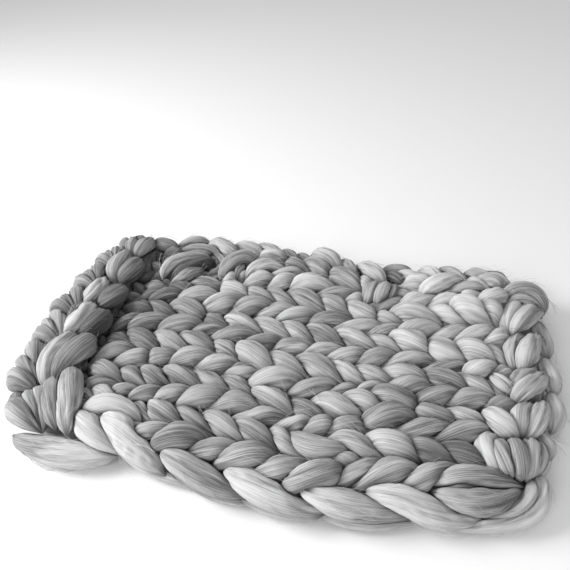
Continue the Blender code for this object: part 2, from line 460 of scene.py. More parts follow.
def settled(row, turn, run):
    """Where the run lies once the row has drifted, bulged at the back and sunk under the chains."""
    bulge = BACK_BULGE * np.exp(-((turn - BACK_BULGE_TURN) / BACK_BULGE_WIDTH) ** 2)
    bulge = bulge * float(smooth_step((BACK_BULGE_END - row) / BACK_BULGE_FADE))
    across = run.across + drift(run.along, turn) - bulge
    under_cast_on = smooth_step((CAST_ON_INNER_EDGE - run.along) / CAST_ON_SLOPE)
    height = run.height * (1.0 - UNDER_CAST_ON * under_cast_on)
    under_bind_off = smooth_step((run.along - BIND_OFF_INNER_EDGE) / BIND_OFF_SLOPE)
    height = height - UNDER_BIND_OFF * under_bind_off
    beyond = np.clip(run.along - BIND_OFF_INNER_EDGE, 0.0, BIND_OFF_REACH)
    return np.stack([run.along - BIND_OFF_DRAWN_IN * beyond, across / pitch(), height], 1)


def knit_row(row, random):
    """One row of stitches, worked from the back selvage to the front one."""
    last_turn = FRONT_TURN - (FIRST_ROW_SHORTER if row == FIRST_ROW else 0.0)
    turn = np.linspace(BACK_TURN, last_turn, COLUMNS * PLACES_PER_COLUMN)
    run = off_the_grid(row, turn, loops(row, turn, random))
    places = settled(row, turn, run)
    shade = run.shade + painted_light_and_tone_at(places[:, 0], places[:, 1])
    in_metres = to_metres(places)
    points, radius = resample(in_metres, run.radius, sizes().spacing)
    shade = resample(in_metres, shade, sizes().spacing)[1]
    return Strand("row_%02d" % (row - FIRST_ROW + 1), "row", points, tapered(points, radius), shade)


# ---------------------------------------------------------------------------------------------
# The selvages: at every second row the roving turns down over the edge in one long leg

# Along and height are in rows, column in columns from the selvage's own, radius in rows
Bend = namedtuple("Bend", "along column height radius")
SELVAGE_LEG = (
    Bend(-0.15, -0.16, 0.62, 0.12),
    Bend(0.22, 0.0, 0.86, 0.34),
    Bend(0.85, 0.12, 0.87, 0.46),
    Bend(1.5, 0.19, 0.68, 0.49),
    Bend(2.15, 0.2, 0.48, 0.44),
    Bend(2.8, 0.14, 0.34, 0.32),
    Bend(3.3, -0.02, 0.28, 0.14),
)

# Each leg: the row where it starts, factors for its length, fatness and rise, and how far it is
# moved towards the front, in columns
Selvage = namedtuple("Selvage", "row length fatness aside rise shade end_shade")
# The front legs run from paler to darker: painted shade where each ends under the next leg
FRONT_LEGS = (
    Selvage(3.3, 0.96, 0.92, 0.06, 1.0, 0.1, -0.18),
    Selvage(5.3, 1.0, 0.92, 0.09, 1.0, 0.24, -0.08),
    Selvage(7.4, 1.0, 0.92, 0.07, 1.0, 0.34, -0.16),
    Selvage(9.15, 1.0, 0.9, 0.05, 1.0, 0.42, -0.02),
)
BACK_LEGS = (
    Selvage(-0.8, 0.8, 0.9, -0.3, 0.9, -0.14, -0.14),
    Selvage(0.3, 0.8, 0.95, -0.3, 0.9, -0.08, -0.08),
    Selvage(2.3, 1.0, 0.9, -0.14, 0.6, 0.02, 0.02),
    Selvage(4.5, 1.0, 0.9, 0.0, 0.6, -0.03, -0.03),
    Selvage(6.5, 1.0, 0.9, 0.1, 0.6, 0.03, 0.03),
    Selvage(8.5, 1.0, 0.9, 0.1, 0.6, 0.0, 0.0),
    Selvage(10.4, 0.9, 0.9, 0.06, 0.6, 0.04, 0.04),
)
FRONT_COLUMN = 6.50
BACK_COLUMN = 0.46
TO_FRONT = 1.0
TO_BACK = -1.0

# The strand that runs low along the back selvage, painted darker as it lies in shade under the arms
UNDER_BACK_COLUMN = 0.22
UNDER_BACK_HEIGHT = 0.46
UNDER_BACK_RADIUS = 0.46
UNDER_BACK_PAINTED_SHADE = -0.20


def selvage(piece, legs, column, outwards):
    """The long legs down one selvage, bent towards the front or the back."""
    made = []
    for number, leg in enumerate(legs):
        stops = []
        for bend in SELVAGE_LEG:
            row = leg.row + bend.along * leg.length
            moved = column + leg.aside + outwards * bend.column + float(drift(row, column)) / pitch()
            stops.append((row, moved, bend.height * leg.rise, bend.radius * leg.fatness))
        made.append(laid(piece, "leg_%d" % number, stops, leg.shade, leg.end_shade))
    return made


def under_back():
    """The strand that runs low along the back selvage, under its arms."""
    stops = []
    for row in range(FIRST_ROW, LAST_ROW + 2):
        column = UNDER_BACK_COLUMN + float(drift(row, BACK_COLUMN)) / pitch()
        stops.append((row, column, UNDER_BACK_HEIGHT, UNDER_BACK_RADIUS))
    return laid("back_selvage", "under", stops, UNDER_BACK_PAINTED_SHADE, UNDER_BACK_PAINTED_SHADE)


# ---------------------------------------------------------------------------------------------
# The cast-on's chain, which lies on top of the first rows. Each stitch is a V with its point to the
# front: a fan of folds runs from it off over the edge, and a limb and a bulb back over the fabric

# Each fan's point, the ends of its first and last folds, and factors for its height and thickness
Fan = namedtuple("Fan", "row column near_row near_column far_row far_column rise size shade")
FANS = (
    Fan(-0.62, 6.62, -1.84, 6.16, -1.46, 5.66, 0.92, 1.38, -0.02),
    Fan(-1.64, 5.71, -2.54, 5.48, -2.72, 4.56, 1.0, 1.34, -0.12),
    Fan(-1.94, 4.47, -2.92, 4.22, -2.9, 3.48, 1.1, 1.1, -0.1),
    Fan(-2.09, 3.56, -3.11, 3.31, -2.83, 2.73, 1.2, 0.96, -0.14),
    Fan(-2.18, 2.48, -3.04, 2.34, -2.75, 1.74, 1.22, 0.88, -0.14),
    Fan(-2.15, 1.58, -3.0, 1.31, -2.6, 0.84, 1.18, 0.8, -0.16),
    Fan(-2.12, 0.54, -2.74, 0.36, -2.07, 0.1, 1.05, 0.68, -0.16),
)
FOLDS_PER_FAN = 3
# Each fold is painted darker at its fan's point, where the folds crowd in and shade falls, and runs to
# this shade at its end
FAN_END_SHADE = 0.04

# The lie of a fold from the point of its V at 0 to its end at 1; the rest in rows
Lie = namedtuple("Lie", "along height radius")
FAN_FOLD = (
    Lie(0.0, 0.9, 0.1),
    Lie(0.3, 1.1, 0.27),
    Lie(0.62, 1.16, 0.36),
    Lie(0.9, 0.98, 0.38),
    Lie(1.02, 0.68, 0.36),
    Lie(1.0, 0.36, 0.2),
)


def cast_on_fans():
    """The fans of the cast-on's chain."""
    made = []
    for number, fan in enumerate(FANS):
        for fold in range(FOLDS_PER_FAN):
            share = fold / (FOLDS_PER_FAN - 1.0)
            end_row = fan.near_row + (fan.far_row - fan.near_row) * share
            end_column = fan.near_column + (fan.far_column - fan.near_column) * share
            stops = [(fan.row + (end_row - fan.row) * lie.along,
                      fan.column + (end_column - fan.column) * lie.along,
                      lie.height * fan.rise, lie.radius * fan.size) for lie in FAN_FOLD]
            name = "fold_%d_%d" % (number, fold)
            made.append(laid("cast_on", name, stops, fan.shade, FAN_END_SHADE))
    return made


# ---------------------------------------------------------------------------------------------
# Strands laid out one by one: the shades at the start and the end, and the stops between them, with the
# radius in rows as well

Laid = namedtuple("Laid", "shade end_shade stops")
Stop = namedtuple("Stop", "row column height radius")
BIND_OFF = {
    "cap": Laid(0.0, -0.03, (
        Stop(12.74, 0.79, 0.8, 0.12), Stop(12.89, 0.63, 1.0, 0.3), Stop(13.25, 0.57, 1.12, 0.36),
        Stop(13.63, 0.58, 1.05, 0.38), Stop(13.94, 0.71, 0.8, 0.34), Stop(14.08, 0.9, 0.5, 0.22))),
    "cap_fold": Laid(-0.04, -0.07, (
        Stop(12.81, 0.93, 0.8, 0.12), Stop(13.04, 0.91, 1.0, 0.26), Stop(13.37, 0.91, 1.05, 0.3),
        Stop(13.73, 0.97, 0.9, 0.28), Stop(13.98, 1.03, 0.6, 0.16))),
    "outer_1": Laid(0.12, -0.01, (
        Stop(12.95, 2.13, 0.85, 0.1), Stop(12.99, 1.97, 1.05, 0.28), Stop(13.17, 1.75, 1.18, 0.37),
        Stop(13.49, 1.42, 1.12, 0.38), Stop(13.79, 1.1, 0.85, 0.28), Stop(14.04, 0.98, 0.5, 0.16))),
    "inner_1": Laid(0.14, 0.13, (
        Stop(12.92, 2.13, 0.85, 0.1), Stop(12.74, 1.87, 1.0, 0.24), Stop(12.8, 1.58, 1.12, 0.32),
        Stop(13.06, 1.21, 1.05, 0.3), Stop(13.45, 0.85, 0.8, 0.14))),
    "side_1": Laid(0.0, 0.09, (
        Stop(13.7, 1.17, 0.6, 0.12), Stop(13.81, 1.54, 0.7, 0.28), Stop(13.96, 1.9, 0.62, 0.32),
        Stop(14.09, 2.11, 0.45, 0.26), Stop(14.14, 2.26, 0.3, 0.12))),
    "outer_2": Laid(0.1, 0.09, (
        Stop(13.83, 1.85, 0.8, 0.1), Stop(13.58, 2.18, 1.0, 0.28), Stop(13.36, 2.62, 1.18, 0.38),
        Stop(13.25, 2.86, 1.16, 0.42), Stop(13.24, 2.99, 1.0, 0.38), Stop(13.3, 2.96, 0.7, 0.18))),
    "inner_2": Laid(0.1, 0.14, (
        Stop(13.29, 1.82, 0.8, 0.1), Stop(13.02, 2.15, 0.98, 0.22), Stop(12.83, 2.56, 1.08, 0.26),
        Stop(12.79, 2.82, 1.06, 0.26), Stop(12.87, 2.99, 0.92, 0.22), Stop(13.0, 3.0, 0.65, 0.1))),
    "side_2": Laid(0.16, 0.21, (
        Stop(13.88, 2.43, 0.6, 0.14), Stop(13.94, 2.76, 0.7, 0.3), Stop(14.08, 3.02, 0.6, 0.36),
        Stop(14.15, 3.23, 0.45, 0.28), Stop(14.11, 3.36, 0.3, 0.12))),
    "outer_3": Laid(0.02, 0.2, (
        Stop(13.89, 3.06, 0.8, 0.12), Stop(13.61, 3.39, 1.04, 0.3), Stop(13.31, 3.68, 1.18, 0.36),
        Stop(13.08, 3.86, 1.12, 0.34), Stop(12.97, 3.93, 0.9, 0.24), Stop(13.0, 3.93, 0.6, 0.12))),
    "inner_3": Laid(0.16, 0.22, (
        Stop(12.17, 3.21, 0.75, 0.12), Stop(12.31, 3.45, 0.95, 0.24), Stop(12.5, 3.64, 1.06, 0.3),
        Stop(12.68, 3.72, 1.02, 0.26), Stop(12.86, 3.73, 0.8, 0.12))),
    "middle_3": Laid(0.08, 0.2, (
        Stop(13.66, 2.86, 0.75, 0.12), Stop(13.34, 3.13, 0.92, 0.24), Stop(13.07, 3.35, 1.0, 0.28),
        Stop(12.92, 3.56, 0.98, 0.24), Stop(12.87, 3.64, 0.75, 0.1))),
    "side_3": Laid(0.16, 0.19, (
        Stop(13.98, 3.42, 0.6, 0.14), Stop(14.02, 3.7, 0.68, 0.3), Stop(14.09, 3.96, 0.6, 0.34),
        Stop(14.07, 4.18, 0.45, 0.26), Stop(14.0, 4.28, 0.3, 0.12))),
    "outer_4": Laid(0.14, 0.2, (
        Stop(13.78, 3.75, 0.75, 0.12), Stop(13.61, 4.14, 0.98, 0.3), Stop(13.42, 4.46, 1.12, 0.36),
        Stop(13.28, 4.66, 1.06, 0.34), Stop(13.18, 4.75, 0.85, 0.24), Stop(13.13, 4.74, 0.55, 0.12))),
    "inner_4": Laid(0.18, 0.16, (
        Stop(12.98, 4.92, 0.85, 0.12), Stop(12.79, 4.84, 1.05, 0.36), Stop(12.51, 4.74, 1.18, 0.42),
        Stop(12.26, 4.56, 1.08, 0.36), Stop(12.07, 4.3, 0.8, 0.16))),
    "middle_4": Laid(0.24, 0.16, (
        Stop(13.04, 4.84, 0.85, 0.1), Stop(12.98, 4.73, 1.1, 0.32), Stop(13.0, 4.51, 1.18, 0.36),
        Stop(13.15, 4.22, 1.05, 0.28), Stop(13.44, 3.85, 0.7, 0.14))),
    "side_4": Laid(0.14, 0.09, (
        Stop(13.57, 4.5, 0.6, 0.14), Stop(13.64, 4.69, 0.68, 0.28), Stop(13.75, 4.79, 0.6, 0.32),
        Stop(13.82, 4.89, 0.45, 0.24), Stop(13.77, 4.98, 0.3, 0.12))),
    "wedge_1": Laid(0.16, 0.24, (
        Stop(12.53, 4.68, 0.72, 0.12), Stop(12.17, 5.04, 0.95, 0.3), Stop(12.12, 5.36, 1.08, 0.38),
        Stop(12.31, 5.57, 1.0, 0.34), Stop(12.5, 5.7, 0.75, 0.16))),
    "wedge_2": Laid(0.0, 0.08, (
        Stop(12.76, 5.72, 0.7, 0.1), Stop(12.67, 5.66, 1.0, 0.28), Stop(12.54, 5.52, 1.18, 0.36),
        Stop(12.43, 5.29, 1.12, 0.34), Stop(12.31, 5.04, 0.85, 0.16))),
    "wedge_3": Laid(-0.06, 0.02, (
        Stop(12.97, 5.71, 0.7, 0.1), Stop(12.92, 5.63, 1.0, 0.32), Stop(12.87, 5.48, 1.2, 0.38),
        Stop(12.84, 5.23, 1.12, 0.34), Stop(12.83, 4.91, 0.8, 0.16))),
    "wedge_4": Laid(0.12, 0.07, (
        Stop(13.17, 5.66, 0.7, 0.1), Stop(13.16, 5.55, 0.95, 0.3), Stop(13.17, 5.36, 1.08, 0.36),
        Stop(13.23, 5.09, 1.0, 0.32), Stop(13.34, 4.77, 0.7, 0.16))),
    "wedge_5": Laid(0.02, -0.01, (
        Stop(13.33, 5.51, 0.6, 0.1), Stop(13.4, 5.4, 0.8, 0.24), Stop(13.48, 5.18, 0.85, 0.3),
        Stop(13.5, 4.93, 0.75, 0.24), Stop(13.5, 4.69, 0.6, 0.12))),
}
# The limbs are painted paler on the side of the lights and the bulbs darker towards their ends, turned
# away from them: painted light and shade. The corner strands beneath are painted darker, as in shade
CHAIN_LIMBS = {
    "limb_1": Laid(0.2, 0.02, (
        Stop(-1.42, 5.65, 1.0, 0.12), Stop(-1.61, 5.43, 1.2, 0.26), Stop(-1.72, 5.14, 1.38, 0.32),
        Stop(-1.68, 4.84, 1.45, 0.35), Stop(-1.6, 4.54, 1.4, 0.34), Stop(-1.74, 4.18, 1.15, 0.26),
        Stop(-1.92, 3.88, 0.9, 0.12))),
    "bulb_1": Laid(-0.04, -0.18, (
        Stop(-1.23, 5.57, 0.95, 0.12), Stop(-1.28, 5.29, 1.15, 0.32), Stop(-1.17, 5.02, 1.35, 0.4),
        Stop(-0.98, 4.75, 1.45, 0.45), Stop(-0.92, 4.51, 1.35, 0.43), Stop(-1.13, 4.2, 1.05, 0.34),
        Stop(-1.35, 3.94, 0.75, 0.15))),
    "limb_2": Laid(0.24, 0.08, (
        Stop(-1.96, 4.2, 1.0, 0.14), Stop(-1.91, 4.1, 1.2, 0.32), Stop(-1.72, 3.95, 1.4, 0.4),
        Stop(-1.64, 3.62, 1.45, 0.38), Stop(-1.87, 3.15, 1.2, 0.3), Stop(-2.21, 2.76, 0.9, 0.12))),
    "bulb_2": Laid(-0.18, -0.34, (
        Stop(-1.86, 4.05, 0.9, 0.2), Stop(-1.44, 4.0, 1.1, 0.34), Stop(-1.14, 3.9, 1.35, 0.44),
        Stop(-1.03, 3.7, 1.38, 0.45), Stop(-1.3, 3.3, 1.0, 0.34), Stop(-1.57, 3.03, 0.7, 0.15))),
    "limb_3": Laid(0.2, 0.04, (
        Stop(-2.25, 3.12, 1.0, 0.12), Stop(-2.18, 3.04, 1.2, 0.3), Stop(-1.95, 2.94, 1.4, 0.37),
        Stop(-1.94, 2.66, 1.4, 0.37), Stop(-2.18, 2.23, 1.2, 0.28), Stop(-2.54, 1.8, 0.9, 0.12))),
    "bulb_3": Laid(-0.2, -0.36, (
        Stop(-2.02, 2.97, 0.9, 0.2), Stop(-1.63, 2.93, 1.1, 0.32), Stop(-1.26, 2.89, 1.35, 0.42),
        Stop(-1.14, 2.69, 1.32, 0.42), Stop(-1.34, 2.33, 1.0, 0.3), Stop(-1.61, 2.03, 0.7, 0.14))),
    "limb_4": Laid(0.18, 0.0, (
        Stop(-1.78, 2.05, 1.0, 0.1), Stop(-1.9, 1.94, 1.2, 0.28), Stop(-1.94, 1.78, 1.4, 0.36),
        Stop(-1.97, 1.47, 1.4, 0.36), Stop(-2.14, 1.02, 1.2, 0.28), Stop(-2.42, 0.58, 0.9, 0.12))),
    "bulb_4": Laid(-0.12, -0.24, (
        Stop(-1.82, 1.97, 0.9, 0.18), Stop(-1.61, 1.9, 1.1, 0.32), Stop(-1.33, 1.79, 1.35, 0.43),
        Stop(-1.31, 1.5, 1.28, 0.41), Stop(-1.59, 1.1, 0.95, 0.26), Stop(-1.83, 0.8, 0.7, 0.12))),
    "limb_5": Laid(-0.02, -0.1, (
        Stop(-1.96, 0.96, 1.0, 0.1), Stop(-2.06, 0.82, 1.2, 0.24), Stop(-2.1, 0.63, 1.3, 0.29),
        Stop(-2.14, 0.29, 1.2, 0.25), Stop(-2.39, -0.14, 0.9, 0.12))),
    "bulb_5": Laid(-0.06, -0.14, (
        Stop(-1.8, 0.89, 0.95, 0.1), Stop(-1.65, 0.82, 1.2, 0.3), Stop(-1.56, 0.62, 1.3, 0.36),
        Stop(-1.6, 0.28, 1.15, 0.28), Stop(-1.84, -0.15, 0.8, 0.12))),
    "corner_under": Laid(-0.2, -0.16, (
        Stop(-2.25, 0.25, 0.42, 0.26), Stop(-1.8, -0.06, 0.46, 0.44), Stop(-1.1, -0.06, 0.46, 0.44),
        Stop(-0.4, 0.05, 0.42, 0.26))),
    "corner_fill": Laid(-0.14, -0.1, (
        Stop(-1.93, -0.07, 0.6, 0.14), Stop(-1.44, 0.01, 0.8, 0.32), Stop(-0.82, 0.09, 0.85, 0.34),
        Stop(-0.29, 0.08, 0.7, 0.16))),
}
BACK_EDGE = {
    "arm_1": Laid(-0.06, 0.02, (
        Stop(-0.58, 0.07, 0.7, 0.08), Stop(-0.22, -0.13, 0.85, 0.22), Stop(0.21, -0.33, 0.85, 0.24),
        Stop(0.73, -0.44, 0.7, 0.1))),
    "arm_2": Laid(-0.04, 0.06, (
        Stop(-0.36, 0.24, 0.8, 0.08), Stop(0.25, 0.16, 0.95, 0.2), Stop(0.84, 0.09, 0.95, 0.2),
        Stop(1.28, 0.1, 0.86, 0.16), Stop(1.72, 0.28, 0.7, 0.08))),
    "arm_3": Laid(0.12, 0.02, (
        Stop(0.65, -0.33, 0.7, 0.1), Stop(1.19, -0.24, 0.9, 0.3), Stop(1.9, 0.07, 0.95, 0.34),
        Stop(2.41, 0.25, 0.8, 0.18))),
    "arm_4": Laid(0.1, 0.04, (
        Stop(1.8, -0.31, 0.7, 0.1), Stop(2.29, -0.27, 0.85, 0.28), Stop(2.89, -0.12, 0.88, 0.3),
        Stop(3.33, 0.09, 0.75, 0.14))),
    "arm_5": Laid(0.1, 0.02, (
        Stop(2.8, -0.48, 0.7, 0.1), Stop(3.17, -0.37, 0.85, 0.2), Stop(3.69, -0.19, 0.9, 0.24),
        Stop(4.18, 0.06, 0.88, 0.2), Stop(4.47, 0.28, 0.75, 0.1))),
    "arm_6": Laid(0.0, -0.06, (
        Stop(3.86, -0.35, 0.65, 0.1), Stop(4.27, -0.21, 0.8, 0.24), Stop(4.66, 0.12, 0.85, 0.26),
        Stop(4.91, 0.36, 0.75, 0.12))),
    "arm_7": Laid(-0.08, -0.1, (
        Stop(4.58, -0.29, 0.65, 0.1), Stop(4.95, -0.1, 0.8, 0.22), Stop(5.3, 0.18, 0.85, 0.24),
        Stop(5.53, 0.37, 0.75, 0.1))),
    "arm_8": Laid(0.1, 0.04, (
        Stop(5.21, -0.32, 0.7, 0.12), Stop(5.69, -0.14, 0.95, 0.36), Stop(6.22, 0.11, 1.0, 0.4),
        Stop(6.67, 0.41, 0.85, 0.18))),
    "arm_9": Laid(0.02, -0.04, (
        Stop(6.43, -0.14, 0.7, 0.1), Stop(6.77, 0.05, 0.85, 0.27), Stop(7.12, 0.46, 0.92, 0.3),
        Stop(7.44, 0.78, 0.8, 0.14))),
    "arm_10": Laid(0.14, 0.04, (
        Stop(7.12, 0.0, 0.7, 0.12), Stop(7.57, 0.22, 0.95, 0.34), Stop(8.06, 0.52, 1.02, 0.38),
        Stop(8.45, 0.74, 0.85, 0.18))),
    "arm_11": Laid(0.04, 0.06, (
        Stop(8.11, -0.03, 0.6, 0.08), Stop(8.49, -0.12, 0.7, 0.18), Stop(8.95, -0.17, 0.7, 0.2),
        Stop(9.34, -0.27, 0.55, 0.08))),
    "arm_12": Laid(-0.12, -0.1, (
        Stop(8.27, 0.39, 0.75, 0.1), Stop(8.57, 0.35, 0.9, 0.22), Stop(8.89, 0.46, 0.92, 0.24),
        Stop(9.18, 0.61, 0.8, 0.1))),
    "arm_13": Laid(0.4, 0.34, (
        Stop(8.72, 0.07, 0.7, 0.1), Stop(9.13, 0.29, 0.9, 0.28), Stop(9.59, 0.4, 0.9, 0.3),
        Stop(10.06, 0.42, 0.75, 0.14))),
    "arm_14": Laid(0.32, 0.24, (
        Stop(9.57, -0.25, 0.6, 0.1), Stop(9.95, -0.16, 0.75, 0.24), Stop(10.27, 0.06, 0.8, 0.26),
        Stop(10.53, 0.27, 0.7, 0.1))),
    "arm_15": Laid(0.12, 0.1, (
        Stop(10.26, -0.33, 0.6, 0.08), Stop(10.63, -0.25, 0.75, 0.2), Stop(11.05, -0.04, 0.8, 0.24),
        Stop(11.48, 0.2, 0.7, 0.1))),
    "arm_16": Laid(0.18, 0.12, (
        Stop(11.25, -0.28, 0.6, 0.1), Stop(11.64, -0.2, 0.75, 0.3), Stop(12.12, 0.0, 0.75, 0.34),
        Stop(12.65, 0.25, 0.6, 0.18))),
    "arm_17": Laid(0.14, 0.1, (
        Stop(12.07, 0.0, 0.6, 0.1), Stop(12.4, 0.21, 0.8, 0.26), Stop(12.72, 0.49, 0.8, 0.28),
        Stop(12.97, 0.72, 0.7, 0.12))),
}
CORNERS = {
    "tail": Laid(-0.06, 0.32, (
        Stop(-1.72, 6.66, 0.5, 0.12), Stop(-1.25, 6.76, 0.52, 0.3), Stop(-0.45, 6.82, 0.52, 0.42),
        Stop(0.3, 6.82, 0.5, 0.44), Stop(0.94, 6.75, 0.46, 0.38), Stop(1.43, 6.68, 0.4, 0.24),
        Stop(1.75, 6.6, 0.35, 0.1))),
    "knob_crease": Laid(-0.1, -0.2, (
        Stop(-1.5, 5.51, 0.98, 0.1), Stop(-1.4, 5.28, 1.1, 0.3), Stop(-1.23, 5.05, 1.15, 0.34),
        Stop(-1.06, 4.84, 1.1, 0.3), Stop(-1.0, 4.62, 0.95, 0.12))),
    # The strands under the roll, the fans and the bind-off are painted darker, as in shade
    "under_roll": Laid(-0.12, -0.2, (
        Stop(-0.9, 6.3, 0.5, 0.2), Stop(-1.1, 5.4, 0.52, 0.52), Stop(-1.3, 4.2, 0.52, 0.54),
        Stop(-1.45, 3.0, 0.52, 0.54), Stop(-1.5, 1.8, 0.52, 0.54), Stop(-1.45, 0.7, 0.5, 0.5),
        Stop(-1.2, 0.05, 0.46, 0.3))),
    "under_fans": Laid(-0.3, -0.14, (
        Stop(-1.8, 6.25, 0.48, 0.24), Stop(-2.2, 5.8, 0.52, 0.5), Stop(-2.25, 5.2, 0.52, 0.54),
        Stop(-2.35, 4.2, 0.54, 0.52), Stop(-2.45, 3.0, 0.54, 0.52), Stop(-2.42, 1.8, 0.52, 0.5),
        Stop(-2.3, 0.8, 0.5, 0.44), Stop(-1.9, 0.15, 0.46, 0.26))),
    "under_bind_off": Laid(-0.1, -0.1, (
        Stop(13.0, 0.7, 0.44, 0.26), Stop(13.3, 1.4, 0.48, 0.48), Stop(13.38, 2.4, 0.48, 0.52),
        Stop(13.42, 3.4, 0.48, 0.52), Stop(13.38, 4.4, 0.48, 0.5), Stop(13.1, 5.3, 0.46, 0.44),
        Stop(12.7, 5.9, 0.42, 0.26))),
    "middle_1": Laid(-0.04, -0.02, (
        Stop(-0.22, 6.52, 0.85, 0.12), Stop(-0.34, 6.38, 1.08, 0.32), Stop(-0.6, 6.1, 1.26, 0.42),
        Stop(-0.86, 5.8, 1.34, 0.38), Stop(-1.14, 5.44, 1.22, 0.2))),
    "upright": Laid(0.04, -0.02, (
        Stop(0.18, 6.58, 0.82, 0.12), Stop(0.1, 6.41, 1.05, 0.34), Stop(-0.04, 6.12, 1.28, 0.44),
        Stop(-0.31, 5.77, 1.38, 0.45), Stop(-0.66, 5.37, 1.2, 0.38), Stop(-1.0, 5.01, 0.9, 0.16))),
    "corner_outer": Laid(0.26, 0.42, (
        Stop(13.51, 5.33, 0.5, 0.14), Stop(13.53, 5.6, 0.52, 0.3), Stop(13.44, 5.87, 0.5, 0.36),
        Stop(13.23, 6.12, 0.46, 0.36), Stop(12.84, 6.28, 0.4, 0.34), Stop(12.3, 6.43, 0.34, 0.28),
        Stop(11.69, 6.54, 0.28, 0.2), Stop(11.07, 6.6, 0.24, 0.1))),
    "corner_inner": Laid(0.22, 0.3, (
        Stop(13.29, 5.56, 0.62, 0.12), Stop(13.27, 5.81, 0.66, 0.24), Stop(13.13, 6.02, 0.62, 0.26),
        Stop(12.89, 6.19, 0.56, 0.24), Stop(12.53, 6.31, 0.46, 0.18), Stop(12.1, 6.4, 0.36, 0.1))),
    "last_leg": Laid(0.14, -0.24, (
        Stop(10.73, 6.21, 0.72, 0.12), Stop(11.14, 6.29, 0.82, 0.36), Stop(11.71, 6.32, 0.86, 0.43),
        Stop(12.26, 6.2, 0.82, 0.42), Stop(12.75, 5.98, 0.7, 0.34), Stop(13.17, 5.71, 0.55, 0.14))),
    "last_leg_fold": Laid(0.12, -0.14, (
        Stop(10.74, 6.14, 0.85, 0.12), Stop(11.12, 6.05, 1.0, 0.34), Stop(11.65, 5.98, 1.06, 0.38),
        Stop(12.21, 5.91, 1.0, 0.34), Stop(12.69, 5.83, 0.84, 0.26), Stop(13.12, 5.75, 0.66, 0.12))),
}
